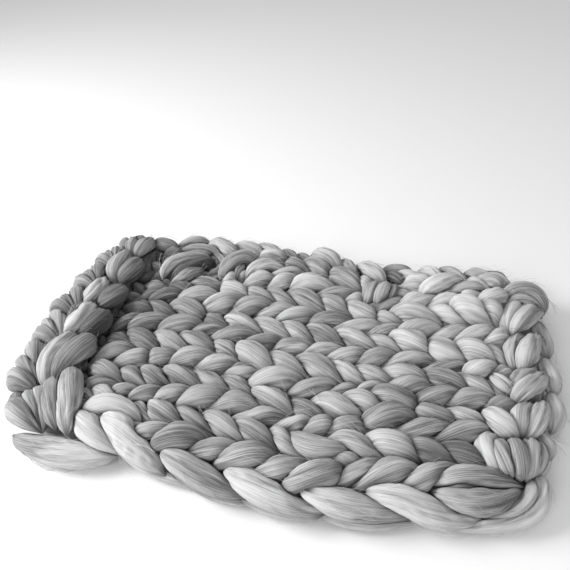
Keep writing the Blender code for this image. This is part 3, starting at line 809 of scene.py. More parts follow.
LOOSE_STRANDS = {
    "back_leaf_1": Laid(0.42, 0.26, (
        Stop(9.8, 1.17, 0.95, 0.12), Stop(9.94, 1.01, 1.15, 0.28), Stop(10.23, 0.86, 1.3, 0.34),
        Stop(10.61, 0.66, 1.3, 0.32), Stop(11.0, 0.44, 1.15, 0.24), Stop(11.35, 0.34, 0.9, 0.1))),
    "back_leaf_2": Laid(0.16, 0.02, (
        Stop(10.77, 0.89, 0.9, 0.1), Stop(11.03, 0.79, 1.05, 0.22), Stop(11.37, 0.69, 1.12, 0.26),
        Stop(11.73, 0.61, 1.08, 0.24), Stop(12.07, 0.57, 0.9, 0.1))),
    "back_leaf_3": Laid(0.16, 0.04, (
        Stop(3.11, 1.19, 0.9, 0.1), Stop(3.26, 1.05, 1.1, 0.24), Stop(3.55, 0.86, 1.22, 0.3),
        Stop(3.93, 0.71, 1.2, 0.28), Stop(4.31, 0.66, 1.05, 0.2), Stop(4.57, 0.62, 0.8, 0.08))),
    "back_leaf_4": Laid(0.1, 0.02, (
        Stop(4.01, 1.12, 0.9, 0.1), Stop(4.26, 1.01, 1.05, 0.2), Stop(4.62, 0.9, 1.12, 0.24),
        Stop(5.01, 0.78, 1.08, 0.22), Stop(5.35, 0.66, 0.85, 0.08))),
    "lower_1": Laid(0.3, 0.4, (
        Stop(1.54, 6.45, 0.4, 0.07), Stop(2.45, 6.67, 0.36, 0.15), Stop(3.31, 6.78, 0.3, 0.16),
        Stop(4.1, 6.82, 0.26, 0.12), Stop(4.69, 6.82, 0.22, 0.07))),
    "lower_2": Laid(0.24, 0.36, (
        Stop(3.67, 6.75, 0.34, 0.07), Stop(4.56, 6.92, 0.32, 0.15), Stop(5.38, 6.97, 0.28, 0.16),
        Stop(6.07, 6.93, 0.24, 0.12), Stop(6.65, 6.83, 0.2, 0.07))),
    "lower_3": Laid(0.34, 0.42, (
        Stop(5.81, 6.95, 0.34, 0.07), Stop(6.64, 7.04, 0.32, 0.14), Stop(7.5, 6.99, 0.28, 0.15),
        Stop(8.26, 6.86, 0.24, 0.1), Stop(8.76, 6.73, 0.2, 0.07))),
    "lower_4": Laid(0.34, 0.42, (
        Stop(7.73, 6.88, 0.34, 0.07), Stop(8.56, 6.96, 0.32, 0.14), Stop(9.38, 6.9, 0.28, 0.15),
        Stop(10.13, 6.75, 0.24, 0.1), Stop(10.7, 6.59, 0.2, 0.07))),
    "front_leg_0": Laid(0.24, 0.26, (
        Stop(0.03, 6.09, 0.92, 0.12), Stop(0.42, 6.22, 1.02, 0.38), Stop(0.86, 6.37, 0.96, 0.49),
        Stop(1.29, 6.48, 0.8, 0.45), Stop(1.65, 6.54, 0.6, 0.3), Stop(1.92, 6.57, 0.45, 0.12))),
    "front_leg_1": Laid(0.2, 0.1, (
        Stop(0.91, 6.06, 0.95, 0.12), Stop(1.36, 6.18, 1.04, 0.42), Stop(1.96, 6.36, 0.98, 0.52),
        Stop(2.56, 6.54, 0.78, 0.5), Stop(3.06, 6.69, 0.56, 0.36), Stop(3.44, 6.82, 0.4, 0.14))),
    "crescent": Laid(0.26, 0.3, (
        Stop(0.31, 6.1, 0.9, 0.12), Stop(0.57, 5.98, 1.12, 0.3), Stop(1.0, 5.86, 1.2, 0.36),
        Stop(1.51, 5.84, 1.12, 0.33), Stop(1.93, 5.9, 0.95, 0.26), Stop(2.18, 5.98, 0.8, 0.1))),
    "loop_top": Laid(0.12, -0.02, (
        Stop(0.0, 1.71, 1.05, 0.1), Stop(-0.01, 1.45, 1.25, 0.24), Stop(0.25, 1.15, 1.35, 0.28),
        Stop(0.7, 0.92, 1.35, 0.26), Stop(1.16, 0.72, 1.2, 0.2), Stop(1.45, 0.69, 0.95, 0.08))),
    "loop_fill": Laid(-0.26, -0.34, (
        Stop(0.27, 1.63, 0.95, 0.1), Stop(0.52, 1.38, 1.1, 0.28), Stop(0.95, 1.02, 1.15, 0.32),
        Stop(1.35, 0.79, 1.05, 0.28), Stop(1.61, 0.76, 0.85, 0.12))),
    "loop_low": Laid(0.06, -0.1, (
        Stop(0.34, 1.79, 0.95, 0.1), Stop(0.74, 1.7, 1.15, 0.24), Stop(1.01, 1.46, 1.2, 0.26),
        Stop(1.31, 1.02, 1.0, 0.1))),
    "loop_thin": Laid(0.06, 0.02, (
        Stop(1.31, 0.28, 0.95, 0.07), Stop(1.79, 0.55, 1.1, 0.15), Stop(2.05, 0.8, 1.15, 0.16),
        Stop(1.99, 1.07, 1.1, 0.15), Stop(1.56, 1.25, 0.95, 0.07))),
    "arch": Laid(0.14, 0.04, (
        Stop(2.19, 1.39, 0.95, 0.1), Stop(2.21, 1.09, 1.15, 0.28), Stop(2.42, 0.76, 1.25, 0.33),
        Stop(2.77, 0.53, 1.25, 0.3), Stop(3.08, 0.49, 1.1, 0.24), Stop(3.3, 0.56, 0.9, 0.1))),
    "arch_inner": Laid(0.02, 0.0, (
        Stop(2.8, 1.32, 0.95, 0.08), Stop(2.81, 1.06, 1.1, 0.2), Stop(2.81, 0.66, 1.0, 0.1))),
    "sag": Laid(0.06, 0.04, (
        Stop(6.65, 5.64, 0.95, 0.12), Stop(7.09, 5.92, 1.15, 0.34), Stop(7.56, 6.03, 1.2, 0.4),
        Stop(8.05, 5.98, 1.15, 0.34), Stop(8.5, 5.79, 0.95, 0.12))),
    "bundle_1": Laid(0.04, -0.02, (
        Stop(7.93, 1.55, 0.8, 0.12), Stop(8.02, 1.52, 1.1, 0.33), Stop(8.1, 1.24, 1.2, 0.34),
        Stop(8.16, 0.82, 1.0, 0.14))),
    "bundle_2": Laid(0.06, 0.0, (
        Stop(8.3, 1.58, 0.8, 0.12), Stop(8.38, 1.55, 1.15, 0.34), Stop(8.47, 1.28, 1.25, 0.34),
        Stop(8.57, 0.81, 1.0, 0.14))),
    "bundle_3": Laid(0.02, -0.04, (
        Stop(8.64, 1.5, 0.75, 0.1), Stop(8.72, 1.42, 1.05, 0.26), Stop(8.78, 1.15, 1.1, 0.26),
        Stop(8.86, 0.73, 0.9, 0.12))),
}


def by_hand(piece, table):
    """The strands of one table, for one piece."""
    return [laid(piece, name, entry.stops, entry.shade, entry.end_shade) for name, entry in table.items()]


CHANCE_SEED = 7


def strands():
    """All the strands of the blanket."""
    random = np.random.default_rng(CHANCE_SEED)
    made = [knit_row(row, random) for row in range(FIRST_ROW, LAST_ROW + 1)]
    made.extend(selvage("front_selvage", FRONT_LEGS, FRONT_COLUMN, TO_FRONT))
    made.extend(selvage("back_selvage", BACK_LEGS, BACK_COLUMN, TO_BACK))
    made.append(under_back())
    made.extend(cast_on_fans())
    made.extend(by_hand("cast_on", CHAIN_LIMBS))
    made.extend(by_hand("back_edge", BACK_EDGE))
    made.extend(by_hand("bind_off", BIND_OFF))
    made.extend(by_hand("corners", CORNERS))
    made.extend(by_hand("loose_strands", LOOSE_STRANDS))
    return made


# ---------------------------------------------------------------------------------------------
# From centre line to swollen roving

SWELL_REACH = 2.4           # how near another strand has to be to matter, in roving radii
OWN_STRETCH = 1.5           # of the strand itself that doesn't press on it, in rows either way
MOST_ROOM = 10.0            # room to swell where there is no neighbour at all, in radii
LEAST_FACING = 1e-6         # below this a direction leads past a neighbour
LEAST_DOWN = 1e-3           # and below this it never meets the surface
OPEN_ROOM = 1.0             # room in such a direction, in metres
SMOOTHING_ROUNDS = 2

TIP_LENGTH = 0.0004         # how far a strand's tips stand out of its last sections, in metres
FIBRE_TWIST = 9.0           # of the fibres round their strand, in radians per metre
NEXT_FIBRES = 3.7           # keeps two strands from showing the same fibres, in metres
THIN_STRAND = 0.5           # thinner ones count as this thick when they are pressed, in roving radii

Gathered = namedtuple("Gathered", "points radius owner order")
Skin = namedtuple("Skin", "vertices faces fibre lie pressed shade")

# What the wool's material reads at each point of a mesh; the painted light and shade come from pressed
# and shade
Layer = namedtuple("Layer", "name kind field")
LAYERS = (
    Layer("fibre", "FLOAT_VECTOR", "vector"),
    Layer("lie", "FLOAT_VECTOR", "vector"),
    Layer("pressed", "FLOAT", "value"),
    Layer("shade", "FLOAT", "value"),
)


def tube_frames(points):
    """Directions round a strand at each of its points, twisting as little as they can."""
    tangent = np.gradient(points, axis=0)
    tangent /= np.linalg.norm(tangent, axis=1)[:, None]
    side = np.zeros_like(points)
    start = np.cross(tangent[0], (0.0, 0.0, 1.0))
    side[0] = start / np.linalg.norm(start)
    for index in range(1, len(points)):
        carried = side[index - 1] - tangent[index] * np.dot(side[index - 1], tangent[index])
        side[index] = carried / np.linalg.norm(carried)
    up = np.cross(tangent, side)
    angle = np.arange(sizes().around) * TAU / sizes().around
    around = (side[:, None, :] * np.cos(angle)[None, :, None]
              + up[:, None, :] * np.sin(angle)[None, :, None])
    return tangent, around


def gather(everything):
    """The points of all strands in single arrays, with the strand and the place each one has."""
    return Gathered(
        np.concatenate([strand.points for strand in everything]),
        np.concatenate([strand.radius for strand in everything]),
        np.concatenate([np.full(len(s.points), number) for number, s in enumerate(everything)]),
        np.concatenate([np.arange(len(strand.points)) for strand in everything]))


def neighbours(points, gathered):
    """The gathered points that lie within reach of a strand."""
    reach = SWELL_REACH * sizes().roving
    lowest = points.min(axis=0) - reach
    highest = points.max(axis=0) + reach
    near = np.all((gathered.points > lowest) & (gathered.points < highest), axis=1)
    return Gathered(*(values[near] for values in gathered))


def room_to_swell(index, strand, directions, gathered):
    """How far each station can swell each way, to where it meets a neighbour or the surface below."""
    reach = SWELL_REACH * sizes().roving
    near_self = int(OWN_STRETCH * sizes().row / sizes().spacing)
    others = neighbours(strand.points, gathered)
    room = np.empty(directions.shape[:2])
    for station, point in enumerate(strand.points):
        radius = strand.radius[station]
        offset = others.points - point
        distance = np.einsum("ij,ij->i", offset, offset)
        close = distance < reach * reach
        close &= (others.owner != index) | (np.abs(others.order - station) > near_self)
        limit = np.full(directions.shape[1], MOST_ROOM * radius)
        if close.any():
            offset, distance = offset[close], distance[close]
            share = radius / (radius + others.radius[close])
            facing = directions[station] @ offset.T
            bisector = np.where(facing > LEAST_FACING,
                                distance * share / np.maximum(facing, LEAST_FACING), OPEN_ROOM)
            limit = np.minimum(limit, bisector.min(axis=1))
        down = -directions[station][:, 2]
        floor = np.where(down > LEAST_DOWN, point[2] / np.maximum(down, LEAST_DOWN), OPEN_ROOM)
        room[station] = np.minimum(limit, floor)
    return room


def swell(index, strand, gathered):
    """How far the strand swells each way before a neighbour, or the surface below, stops it."""
    tangent, directions = tube_frames(strand.points)
    room = room_to_swell(index, strand, directions, gathered)
    free = strand.radius[:, None]
    sharp = PACKED_EDGE if strand.name.startswith(PACKED) else LOOSE_EDGE
    swollen = free * room / (free ** sharp + room ** sharp) ** (1.0 / sharp)
    for _ in range(SMOOTHING_ROUNDS):
        swollen = (np.roll(swollen, 1, 1) + 2.0 * swollen + np.roll(swollen, -1, 1)) / 4.0
        padded = np.concatenate([swollen[:1], swollen, swollen[-1:]])
        swollen = (padded[:-2] + 2.0 * padded[1:-1] + padded[2:]) / 4.0
    return tangent, directions, swollen


def tube_faces(stations, around):
    """The faces of a tube of rings, closed with a fan to a tip at each end."""
    near = np.arange(stations * around).reshape(stations, around)
    ahead = np.roll(near, -1, 1)
    quads = np.stack([near[:-1], ahead[:-1], ahead[1:], near[1:]], -1).reshape(-1, 4)
    faces = quads.tolist()
    first_tip, last_tip = stations * around, stations * around + 1
    faces += [[int(b), int(a), first_tip] for a, b in zip(near[0], ahead[0])]
    faces += [[int(a), int(b), last_tip] for a, b in zip(near[-1], ahead[-1])]
    return faces


def skin(index, strand, gathered):
    """The strand's surface, with what the wool's material needs at each point, the painted light and
    shade among it.
    """
    tangent, directions, swollen = swell(index, strand, gathered)
    stations, around = swollen.shape
    rings = strand.points[:, None, :] + directions * swollen[:, :, None]
    tips = strand.points[[0, -1]] - tangent[[0, -1]] * np.array([[1.0], [-1.0]]) * TIP_LENGTH
    vertices = np.concatenate([rings.reshape(-1, 3), tips])
    vertices[:, 2] = np.maximum(vertices[:, 2], 0.0)
    angle = np.arange(around) * TAU / around
    along = np.arange(stations) * sizes().spacing
    twist = along[:, None] * FIBRE_TWIST + index
    fibre = np.empty((stations, around, 3))
    fibre[:, :, 0] = along[:, None] + index * NEXT_FIBRES
    fibre[:, :, 1] = np.cos(angle[None, :] + twist)
    fibre[:, :, 2] = np.sin(angle[None, :] + twist)
    lie = np.repeat(tangent[:, None, :], around, axis=1)
    # How far the strand is pressed in by its neighbours; the wool's colour gets painted shade there
    pressed = 1.0 - swollen / np.maximum(strand.radius, THIN_STRAND * sizes().roving)[:, None]
    if strand.name.startswith(PACKED):
        pressed = pressed * PACKED_DARK
    ends = np.array([0, -1])
    return Skin(vertices, tube_faces(stations, around),
                np.concatenate([fibre.reshape(-1, 3), fibre[ends, 0]]),
                np.concatenate([lie.reshape(-1, 3), tangent[ends]]),
                np.concatenate([pressed.ravel(), [1.0, 1.0]]),
                np.concatenate([np.repeat(strand.shade, around), strand.shade[ends]]))


def joined_skins(name, members, everything, gathered):
    """One mesh of all the strands of a piece."""
    skins = [skin(index, everything[index], gathered) for index in members]
    vertices, faces, start = [], [], 0
    for part in skins:
        vertices.append(part.vertices)
        faces.extend([[corner + start for corner in face] for face in part.faces])
        start += len(part.vertices)
    mesh = bpy.data.meshes.new(name)
    mesh.from_pydata(np.concatenate(vertices).tolist(), [], faces)
    for layer in LAYERS:
        attribute = mesh.attributes.new(layer.name, layer.kind, "POINT")
        values = np.concatenate([getattr(part, layer.name) for part in skins])
        attribute.data.foreach_set(layer.field, values.astype(np.float32).ravel())
    mesh.shade_smooth()
    return mesh


# ---------------------------------------------------------------------------------------------
# Shaders

class Value:
    """A socket that Python's own operators work on, each adding the node that it stands for."""

    def __init__(self, tree, socket):
        self.tree = tree
        self.socket = socket

    def _math(self, operation, *values):
        node = self.tree.nodes.new("ShaderNodeMath")
        node.operation = operation
        for slot, value in enumerate(values):
            link_or_set(self.tree, node.inputs[slot], value)
        return Value(self.tree, node.outputs[0])

    def __add__(self, other):
        return self._math("ADD", self, other)

    def __radd__(self, other):
        return self._math("ADD", other, self)

    def __sub__(self, other):
        return self._math("SUBTRACT", self, other)

    def __rsub__(self, other):
        return self._math("SUBTRACT", other, self)

    def __mul__(self, other):
        return self._math("MULTIPLY", self, other)

    def __rmul__(self, other):
        return self._math("MULTIPLY", other, self)

    def absolute(self):
        return self._math("ABSOLUTE", self)

    def at_least(self, other):
        return self._math("MAXIMUM", self, other)

    def at_most(self, other):
        return self._math("MINIMUM", self, other)


def link_or_set(tree, socket, value):
    """Feed a socket from another one, or give it a plain value."""
    if isinstance(value, Value):
        tree.links.new(value.socket, socket)
    else:
        socket.default_value = value


def add_node(tree, kind, settings=None, inputs=None):
    """Add a node, with its settings first and then its inputs; gives back the node."""
    node = tree.nodes.new(kind)
    for name, value in (settings or {}).items():
        setattr(node, name, value)
    for name, value in (inputs or {}).items():
        link_or_set(tree, node.inputs[name], value)
    return node


def out(tree, node, name=0):
    """One output of a node, as a value to reckon with."""
    return Value(tree, node.outputs[name])


def centred_noise(tree, place, detail, roughness):
    """Noise in three dimensions, about nought."""
    noise = add_node(tree, "ShaderNodeTexNoise", {"noise_dimensions": "3D"},
                     {"Vector": place, "Scale": 1.0, "Detail": detail, "Roughness": roughness})
    return out(tree, noise) - 0.5


def combined(tree, x, y, z):
    """A vector of three values."""
    return out(tree, add_node(tree, "ShaderNodeCombineXYZ", None, {"X": x, "Y": y, "Z": z}))


def separated(tree, vector):
    """The three values of a vector."""
    split = add_node(tree, "ShaderNodeSeparateXYZ", None, {"Vector": vector})
    return tuple(out(tree, split, name) for name in ("X", "Y", "Z"))


# How light the wool is from its darkest fibres to its palest ones, by their tone
Grey = namedtuple("Grey", "tone level")
WOOL_GREYS = (Grey(0.10, 0.03), Grey(0.36, 0.17), Grey(0.56, 0.40), Grey(0.80, 0.66))

# Streaks of fibres from broad patches to single hairs: how often they change along the strand, per
# metre, and round it; the noise's detail and where in it they start; and what they add to the tone
# and to the relief
Streak = namedtuple("Streak", "run fine detail offset tone relief")
STREAKS = (
    Streak(9.0, 0.7, 1.0, 53.0, 0.50, 0.0),
    Streak(12.0, 2.2, 2.0, 3.0, 0.26, 0.0),
    Streak(18.0, 6.0, 2.5, 11.0, 0.20, 0.2),
    Streak(24.0, 13.0, 3.0, 41.0, 0.44, 0.5),
    Streak(30.0, 34.0, 4.0, 27.0, 1.05, 0.7),
)
STREAK_ROUGHNESS = 0.6
MIDDLE_TONE = 0.55
MOST_PRESSED = 0.6          # the painted shade gets no darker where the wool is pressed harder than this
# Painted shade in the wool's colour where strands press together
PRESSED_PAINTED_SHADE = 0.42
# Painted shade in the wool's colour in the fold grooves
CREASE_PAINTED_SHADE = 0.14
RELIEF = {"Distance": 0.0014, "Strength": 1.0}
FINISH = {"Roughness": 0.82, "Specular IOR Level": 0.18, "Sheen Weight": 0.25, "Sheen Roughness": 0.50}


def wool_material():
    """Matt roving: fine fibres along the strand, charcoal and pale ones among the grey, with painted
    light and shade in its colour.
    """
    material = bpy.data.materials.new("grey_wool_roving")
    material.use_nodes = True
    tree = material.node_tree
    shader = tree.nodes["Principled BSDF"]

    def attribute(label, output):
        node = add_node(tree, "ShaderNodeAttribute", {"attribute_name": label})
        return out(tree, node, output)

    along, side, up = separated(tree, attribute("fibre", "Vector"))
    tone = MIDDLE_TONE
    relief = 0.0
    for streak in STREAKS:
        place = combined(tree, along * streak.run + streak.offset, side * streak.fine, up * streak.fine)
        noise = centred_noise(tree, place, streak.detail, STREAK_ROUGHNESS)
        tone = tone + noise * streak.tone
        if streak.relief:
            relief = relief + noise * streak.relief
    # The tone gets the strands' shades, partly painted light and shade, and painted shade where strands
    # press together and in the grooves
    pressed = attribute("pressed", "Fac").at_least(0.0).at_most(MOST_PRESSED)
    crease = attribute("crease", "Fac")
    tone = tone + attribute("shade", "Fac") - pressed * PRESSED_PAINTED_SHADE - crease * CREASE_PAINTED_SHADE

    ramp = add_node(tree, "ShaderNodeValToRGB", None, {"Fac": tone})
    elements = ramp.color_ramp.elements
    ready = len(elements)
    for number, grey in enumerate(WOOL_GREYS):
        element = elements[number] if number < ready else elements.new(grey.tone)
        element.position = grey.tone
        element.color = (grey.level, grey.level, grey.level, 1.0)
    tree.links.new(ramp.outputs[0], shader.inputs["Base Color"])
    bump = add_node(tree, "ShaderNodeBump", None, dict(RELIEF, Height=relief))
    tree.links.new(bump.outputs[0], shader.inputs["Normal"])
    for name, value in FINISH.items():
        shader.inputs[name].default_value = value
    return material


# ---------------------------------------------------------------------------------------------
# Geometry Nodes: the folds between the bundles of fibres, and the fibres that stand off

# The two kinds of groove: the inputs that shape each one, how much of the noise it takes up, where
# in the noise it starts, and how much painted shade it gets in the wool's colour
Groove = namedtuple("Groove", "run bundles depth width offset crease")
LARGE_GROOVE = Groove("Run", "Bundles", "Fold Depth", 0.07, 5.0, 0.75)
SMALL_GROOVE = Groove("Fine Run", "Fine Bundles", "Fine Depth", 0.08, 31.0, 0.35)
GROOVE_DETAIL = 0.5
GROOVE_ROUGHNESS = 0.4
PRESSED_FLAT = 1.3          # how fast the grooves go where the wool is pressed

# Grooves round the strand, how often they change along it, per metre, and how deep they are
FOLD_VALUES = {"Bundles": 1.0, "Run": 11.0, "Fold Depth": 0.0021,
               "Fine Bundles": 3.0, "Fine Run": 18.0, "Fine Depth": 0.00032}

# The fibres that stand off, in metres and radians
FIBRE_VALUES = {"Fibres per Area": 11000.0, "Fibre Length": 0.018, "Stand-off": 0.0034,
                "Fibre Radius": 0.00013}
PRESSED_BARE = 0.06         # where the wool is pressed harder than this there are none
FIBRE_ROOT = -0.0008        # both ends of a fibre are this far under the wool's surface
BOW_MIDDLE = 0.5            # of a fibre's length: where it bows most, how far it bows to the side
BOW_OUT = 0.10              # there, and how far it has swung back at its end
BOW_BACK = -0.06
BOW_POINTS = 4
FIBRE_SIDES = 3
FIBRE_TURN = {"Min": (-0.5, -0.26, -0.50), "Max": (0.5, 0.10, 0.50), "Seed": 3}
FIBRE_SIZE = {2: 0.45, 3: 1.2, "Seed": 5}       # inputs 2 and 3 are the smallest and the largest
FIBRE_LOWEST = 0.0003       # no part of a fibre lies lower, over the surface below the blanket


def node_group(name, sockets):
    """An empty Geometry Nodes tree with its named inputs; gives back the tree and its two ends."""
    tree = bpy.data.node_groups.new(name, "GeometryNodeTree")
    tree.interface.new_socket("Geometry", in_out="INPUT", socket_type="NodeSocketGeometry")
    for label, kind in sockets:
        tree.interface.new_socket(label, in_out="INPUT", socket_type="NodeSocket" + kind)
    tree.interface.new_socket("Geometry", in_out="OUTPUT", socket_type="NodeSocketGeometry")
    return tree, tree.nodes.new("NodeGroupInput"), tree.nodes.new("NodeGroupOutput")


def finish_group(tree, ends, geometry, material):
    """Close a tree with Realize Instances and Set Material."""
    realized = add_node(tree, "GeometryNodeRealizeInstances", None, {"Geometry": geometry})
    painted = add_node(tree, "GeometryNodeSetMaterial", None,
                       {"Geometry": out(tree, realized), "Material": material})
    link_or_set(tree, ends.inputs["Geometry"], out(tree, painted))


def named(tree, kind, label):
    """A named attribute of the mesh."""
    node = add_node(tree, "GeometryNodeInputNamedAttribute", {"data_type": kind}, {"Name": label})
    return out(tree, node)


def fold_tree():
    """Sinks soft grooves between the bundles of fibres, along the strand, and stores them as crease,
    where the wool's colour gets painted shade.
    """
    tree, given, ends = node_group("roving_folds", (
        ("Bundles", "Float"), ("Run", "Float"), ("Fold Depth", "Float"), ("Fine Bundles", "Float"),
        ("Fine Run", "Float"), ("Fine Depth", "Float"), ("Material", "Material")))
    along, side, up = separated(tree, named(tree, "FLOAT_VECTOR", "fibre"))
    pressed = named(tree, "FLOAT", "pressed")

    def grooves(kind):
        run, bundles = out(tree, given, kind.run), out(tree, given, kind.bundles)
        place = combined(tree, along * run + kind.offset, side * bundles, up * bundles)
        noise = centred_noise(tree, place, GROOVE_DETAIL, GROOVE_ROUGHNESS)
        away = noise.absolute() * (1.0 / kind.width)
        inside = (1.0 - away).at_least(0.0)
        return inside * inside * (3.0 - 2.0 * inside)

    large, small = grooves(LARGE_GROOVE), grooves(SMALL_GROOVE)
    free = (1.0 - pressed * PRESSED_FLAT).at_least(0.0)
    sink = (large * out(tree, given, LARGE_GROOVE.depth)
            + small * out(tree, given, SMALL_GROOVE.depth))
    normal = out(tree, add_node(tree, "GeometryNodeInputNormal"))
    move = add_node(tree, "ShaderNodeVectorMath", {"operation": "SCALE"},
                    {"Vector": normal, "Scale": 0.0 - sink * free})
    folded = add_node(tree, "GeometryNodeSetPosition", None,
                      {"Geometry": out(tree, given, "Geometry"), "Offset": out(tree, move)})
    # Where the grooves lie, for the painted shade in them
    crease = large * LARGE_GROOVE.crease + small * SMALL_GROOVE.crease
    stored = add_node(tree, "GeometryNodeStoreNamedAttribute", {"data_type": "FLOAT", "domain": "POINT"},
                      {"Geometry": out(tree, folded), "Name": "crease", "Value": crease * free})
    finish_group(tree, ends, out(tree, stored), out(tree, given, "Material"))
    return tree


def single_fibre(tree, given):
    """One loose fibre: a thin bowed tube along X that starts just under the wool."""
    length = out(tree, given, "Fibre Length")
    middle = combined(tree, length * BOW_MIDDLE, length * BOW_OUT, out(tree, given, "Stand-off"))
    far = combined(tree, length, length * BOW_BACK, FIBRE_ROOT)
    bow = add_node(tree, "GeometryNodeCurveQuadraticBezier", None,
                   {"Resolution": BOW_POINTS, "Start": (0.0, 0.0, FIBRE_ROOT), "Middle": middle,
                    "End": far})
    ring = add_node(tree, "GeometryNodeCurvePrimitiveCircle", {"mode": "RADIUS"},
                    {"Resolution": FIBRE_SIDES, "Radius": out(tree, given, "Fibre Radius")})
    return out(tree, add_node(tree, "GeometryNodeCurveToMesh", None,
                              {"Curve": out(tree, bow), "Profile Curve": out(tree, ring),
                               "Fill Caps": True}))


def fibre_rotation(tree, spots):
    """Each fibre's rotation: flat on the wool, along the strand, and turned a little by chance."""
    upright = add_node(tree, "FunctionNodeAlignRotationToVector", {"axis": "Z"},
                       {"Vector": out(tree, spots, "Normal")})
    lying = add_node(tree, "FunctionNodeAlignRotationToVector", {"axis": "X", "pivot_axis": "Z"},
                     {"Rotation": out(tree, upright), "Vector": named(tree, "FLOAT_VECTOR", "lie")})
    turn = add_node(tree, "FunctionNodeRandomValue", {"data_type": "FLOAT_VECTOR"}, FIBRE_TURN)
    return out(tree, add_node(tree, "FunctionNodeRotateRotation", {"rotation_space": "LOCAL"},
                              {"Rotation": out(tree, lying), "Rotate By": out(tree, turn)}))


def hair_tree():
    """Fine fibres that have worked loose and lie along the strands, standing off a little."""
    tree, given, ends = node_group("stray_fibres", (
        ("Fibres per Area", "Float"), ("Fibre Length", "Float"), ("Stand-off", "Float"),
        ("Fibre Radius", "Float"), ("Seed", "Int"), ("Material", "Material")))
    bare = add_node(tree, "FunctionNodeCompare", {"data_type": "FLOAT", "operation": "LESS_THAN"},
                    {"A": named(tree, "FLOAT", "pressed"), "B": PRESSED_BARE})
    spots = add_node(tree, "GeometryNodeDistributePointsOnFaces", {"distribute_method": "RANDOM"},
                     {"Mesh": out(tree, given, "Geometry"), "Selection": out(tree, bare),
                      "Density": out(tree, given, "Fibres per Area"), "Seed": out(tree, given, "Seed")})
    size = add_node(tree, "FunctionNodeRandomValue", {"data_type": "FLOAT"}, FIBRE_SIZE)
    planted = add_node(tree, "GeometryNodeInstanceOnPoints", None,
                       {"Points": out(tree, spots, "Points"), "Instance": single_fibre(tree, given),
                        "Rotation": fibre_rotation(tree, spots), "Scale": out(tree, size, 1)})
    real = add_node(tree, "GeometryNodeRealizeInstances", None, {"Geometry": out(tree, planted)})
    x, y, z = separated(tree, out(tree, add_node(tree, "GeometryNodeInputPosition")))
    kept_up = add_node(tree, "GeometryNodeSetPosition", None,
                       {"Geometry": out(tree, real),
                        "Position": combined(tree, x, y, z.at_least(FIBRE_LOWEST))})
    finish_group(tree, ends, out(tree, kept_up), out(tree, given, "Material"))
    return tree


def through_nodes(obj, tree, values):
    """Run an object through a tree and keep the result as its plain mesh."""
    modifier = obj.modifiers.new(tree.name, "NODES")
    modifier.node_group = tree
    for item in tree.interface.items_tree:
        if item.in_out == "INPUT" and item.name in values:
            modifier[item.identifier] = values[item.name]
    bpy.context.view_layer.update()
    graph = bpy.context.evaluated_depsgraph_get()
    mesh = bpy.data.meshes.new_from_object(obj.evaluated_get(graph))
    obj.modifiers.remove(modifier)
    return mesh


# ---------------------------------------------------------------------------------------------
# Operators

class KNIT_OT_blanket(bpy.types.Operator):
    """Knit the blanket: its rows, selvages, chains and corners"""
    bl_idname = "knit.blanket"
    bl_label = "Knit the Blanket"

    def execute(self, context):
        everything = strands()
        gathered = gather(everything)
        folds = fold_tree()
        values = dict(FOLD_VALUES, Material=wool_material())
        pieces = {}
        for index, strand in enumerate(everything):
            pieces.setdefault(strand.piece, []).append(index)
        for number, (piece, members) in enumerate(pieces.items()):
            mesh = joined_skins(KNIT_PREFIX + piece, members, everything, gathered)
            obj = bpy.data.objects.new(KNIT_PREFIX + piece, mesh)
            context.scene.collection.objects.link(obj)
            obj.data = through_nodes(obj, folds, values)
            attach(obj, BODY)
            if number == 0:
                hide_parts(NODE)
        return {"FINISHED"}


class KNIT_OT_fibres(bpy.types.Operator):
    """Let some fibres stand off the wool"""
    bl_idname = "knit.fibres"
    bl_label = "Stray Fibres"

    def execute(self, context):
        knitted = [obj for obj in context.scene.objects
                   if obj.name.startswith(KNIT_PREFIX) and obj.name != NODE]
        values = dict(FIBRE_VALUES, Material=knitted[0].data.materials[0])
        tree = hair_tree()
        for number, wool in enumerate(knitted):
            name = FIBRES_PREFIX + wool.name[len(KNIT_PREFIX):]
            obj = bpy.data.objects.new(name, wool.data)
            context.scene.collection.objects.link(obj)
            obj.data = through_nodes(obj, tree, dict(values, Seed=number))
            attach(obj, BODY)
        return {"FINISHED"}


# The camera, in metres: where it stands, where it looks, and how far it leans over
EYE = (0.1296, -0.3962, 0.4180)
LOOKED_AT = (-0.0314, 0.1221, 0.0)
CAMERA_LEAN = math.radians(-3.97)
FOCAL_PIXELS = 600.0
FRAME_PIXELS = 570.0
SENSOR = 36.0
NEAREST_SEEN = 0.01

# The stage: soft round lights that face the middle, in metres and watts, and a pale floor
Light = namedtuple("Light", "name place size power")
LIGHTS = (
    Light("window", (-1.2, -0.25, 0.85), 0.8, 25.0),
    Light("front", (-0.2, -1.3, 0.9), 0.9, 10.0),
)
SKY_WHITE = (1.0, 1.0, 1.0, 1.0)
SKY_STRENGTH = 0.60
FLOOR_SIZE = 8.0
FLOOR_GREY = (0.78, 0.78, 0.78, 1.0)
FLOOR_ROUGHNESS = 0.6


def add_camera():
    """Set the camera, leaning over a little."""
    data = bpy.data.cameras.new("camera")
    data.sensor_width = SENSOR
    data.lens = SENSOR * FOCAL_PIXELS / FRAME_PIXELS
    data.clip_start = NEAREST_SEEN
    camera = bpy.data.objects.new("camera", data)
    look = (Vector(LOOKED_AT) - Vector(EYE)).normalized()
    level = look.cross(Vector((0.0, 0.0, 1.0))).normalized()
    above = level.cross(look)
    right = level * math.cos(CAMERA_LEAN) + above * math.sin(CAMERA_LEAN)
    up = right.cross(look)
    turned = Matrix((right, up, -look)).transposed()
    camera.matrix_world = Matrix.Translation(Vector(EYE)) @ turned.to_4x4()
    bpy.context.scene.collection.objects.link(camera)
    bpy.context.scene.camera = camera


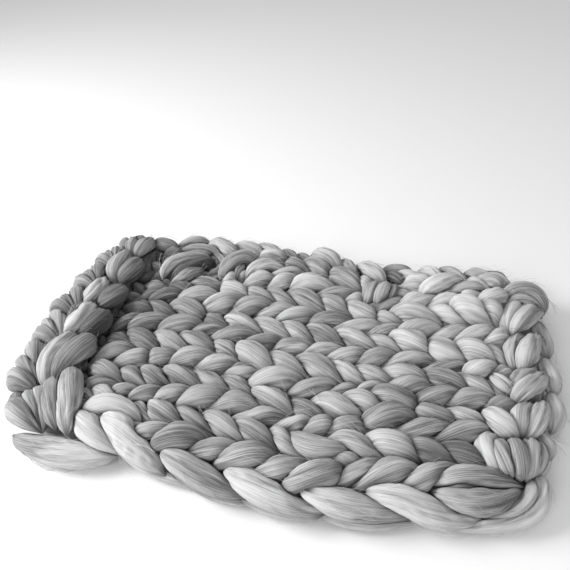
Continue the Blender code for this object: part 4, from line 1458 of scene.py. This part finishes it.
def add_light(light):
    """Hang one soft light, facing the middle of the floor."""
    data = bpy.data.lights.new(light.name, "AREA")
    data.shape = "DISK"
    data.size = light.size
    data.energy = light.power
    obj = bpy.data.objects.new(light.name, data)
    obj.location = light.place
    obj.rotation_euler = (-Vector(light.place)).to_track_quat("-Z", "Y").to_euler()
    bpy.context.scene.collection.objects.link(obj)


class KNIT_OT_stage(bpy.types.Operator):
    """Lay a pale floor, hang soft lights and set the camera"""
    bl_idname = "knit.stage"
    bl_label = "Floor, Lights and Camera"

    def execute(self, context):
        bpy.ops.mesh.primitive_plane_add(size=FLOOR_SIZE, location=(0.0, 0.0, 0.0))
        floor = context.object
        floor.name = "floor"
        material = bpy.data.materials.new("pale_floor")
        material.use_nodes = True
        shader = material.node_tree.nodes["Principled BSDF"]
        shader.inputs["Base Color"].default_value = FLOOR_GREY
        shader.inputs["Roughness"].default_value = FLOOR_ROUGHNESS
        floor.data.materials.append(material)
        world = bpy.data.worlds.new("studio")
        world.use_nodes = True
        background = world.node_tree.nodes["Background"]
        background.inputs["Color"].default_value = SKY_WHITE
        background.inputs["Strength"].default_value = SKY_STRENGTH
        context.scene.world = world
        context.scene.view_settings.view_transform = "Standard"
        for light in LIGHTS:
            add_light(light)
        add_camera()
        return {"FINISHED"}


class KNIT_PT_panel(bpy.types.Panel):
    """Steps of the blanket"""
    bl_label = "Chunky Knit Blanket"
    bl_idname = "KNIT_PT_panel"
    bl_space_type = "VIEW_3D"
    bl_region_type = "UI"
    bl_category = "Knit"

    def draw(self, context):
        for operator in (KNIT_OT_blanket, KNIT_OT_fibres, KNIT_OT_stage):
            self.layout.operator(operator.bl_idname)


CLASSES = (KnitSizes, KNIT_OT_blanket, KNIT_OT_fibres, KNIT_OT_stage, KNIT_PT_panel)


def register():
    """Make the settings, the operators and the panel known to Blender."""
    for cls in CLASSES:
        bpy.utils.register_class(cls)
    bpy.types.Scene.knit_sizes = bpy.props.PointerProperty(type=KnitSizes)


def unregister():
    """Take them away again."""
    del bpy.types.Scene.knit_sizes
    for cls in reversed(CLASSES):
        bpy.utils.unregister_class(cls)


def main():
    """Knit the blanket over the frame and set the stage."""
    register()
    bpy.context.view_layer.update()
    bpy.ops.knit.blanket()
    bpy.ops.knit.fibres()
    bpy.ops.knit.stage()


if __name__ == "__main__":
    main()
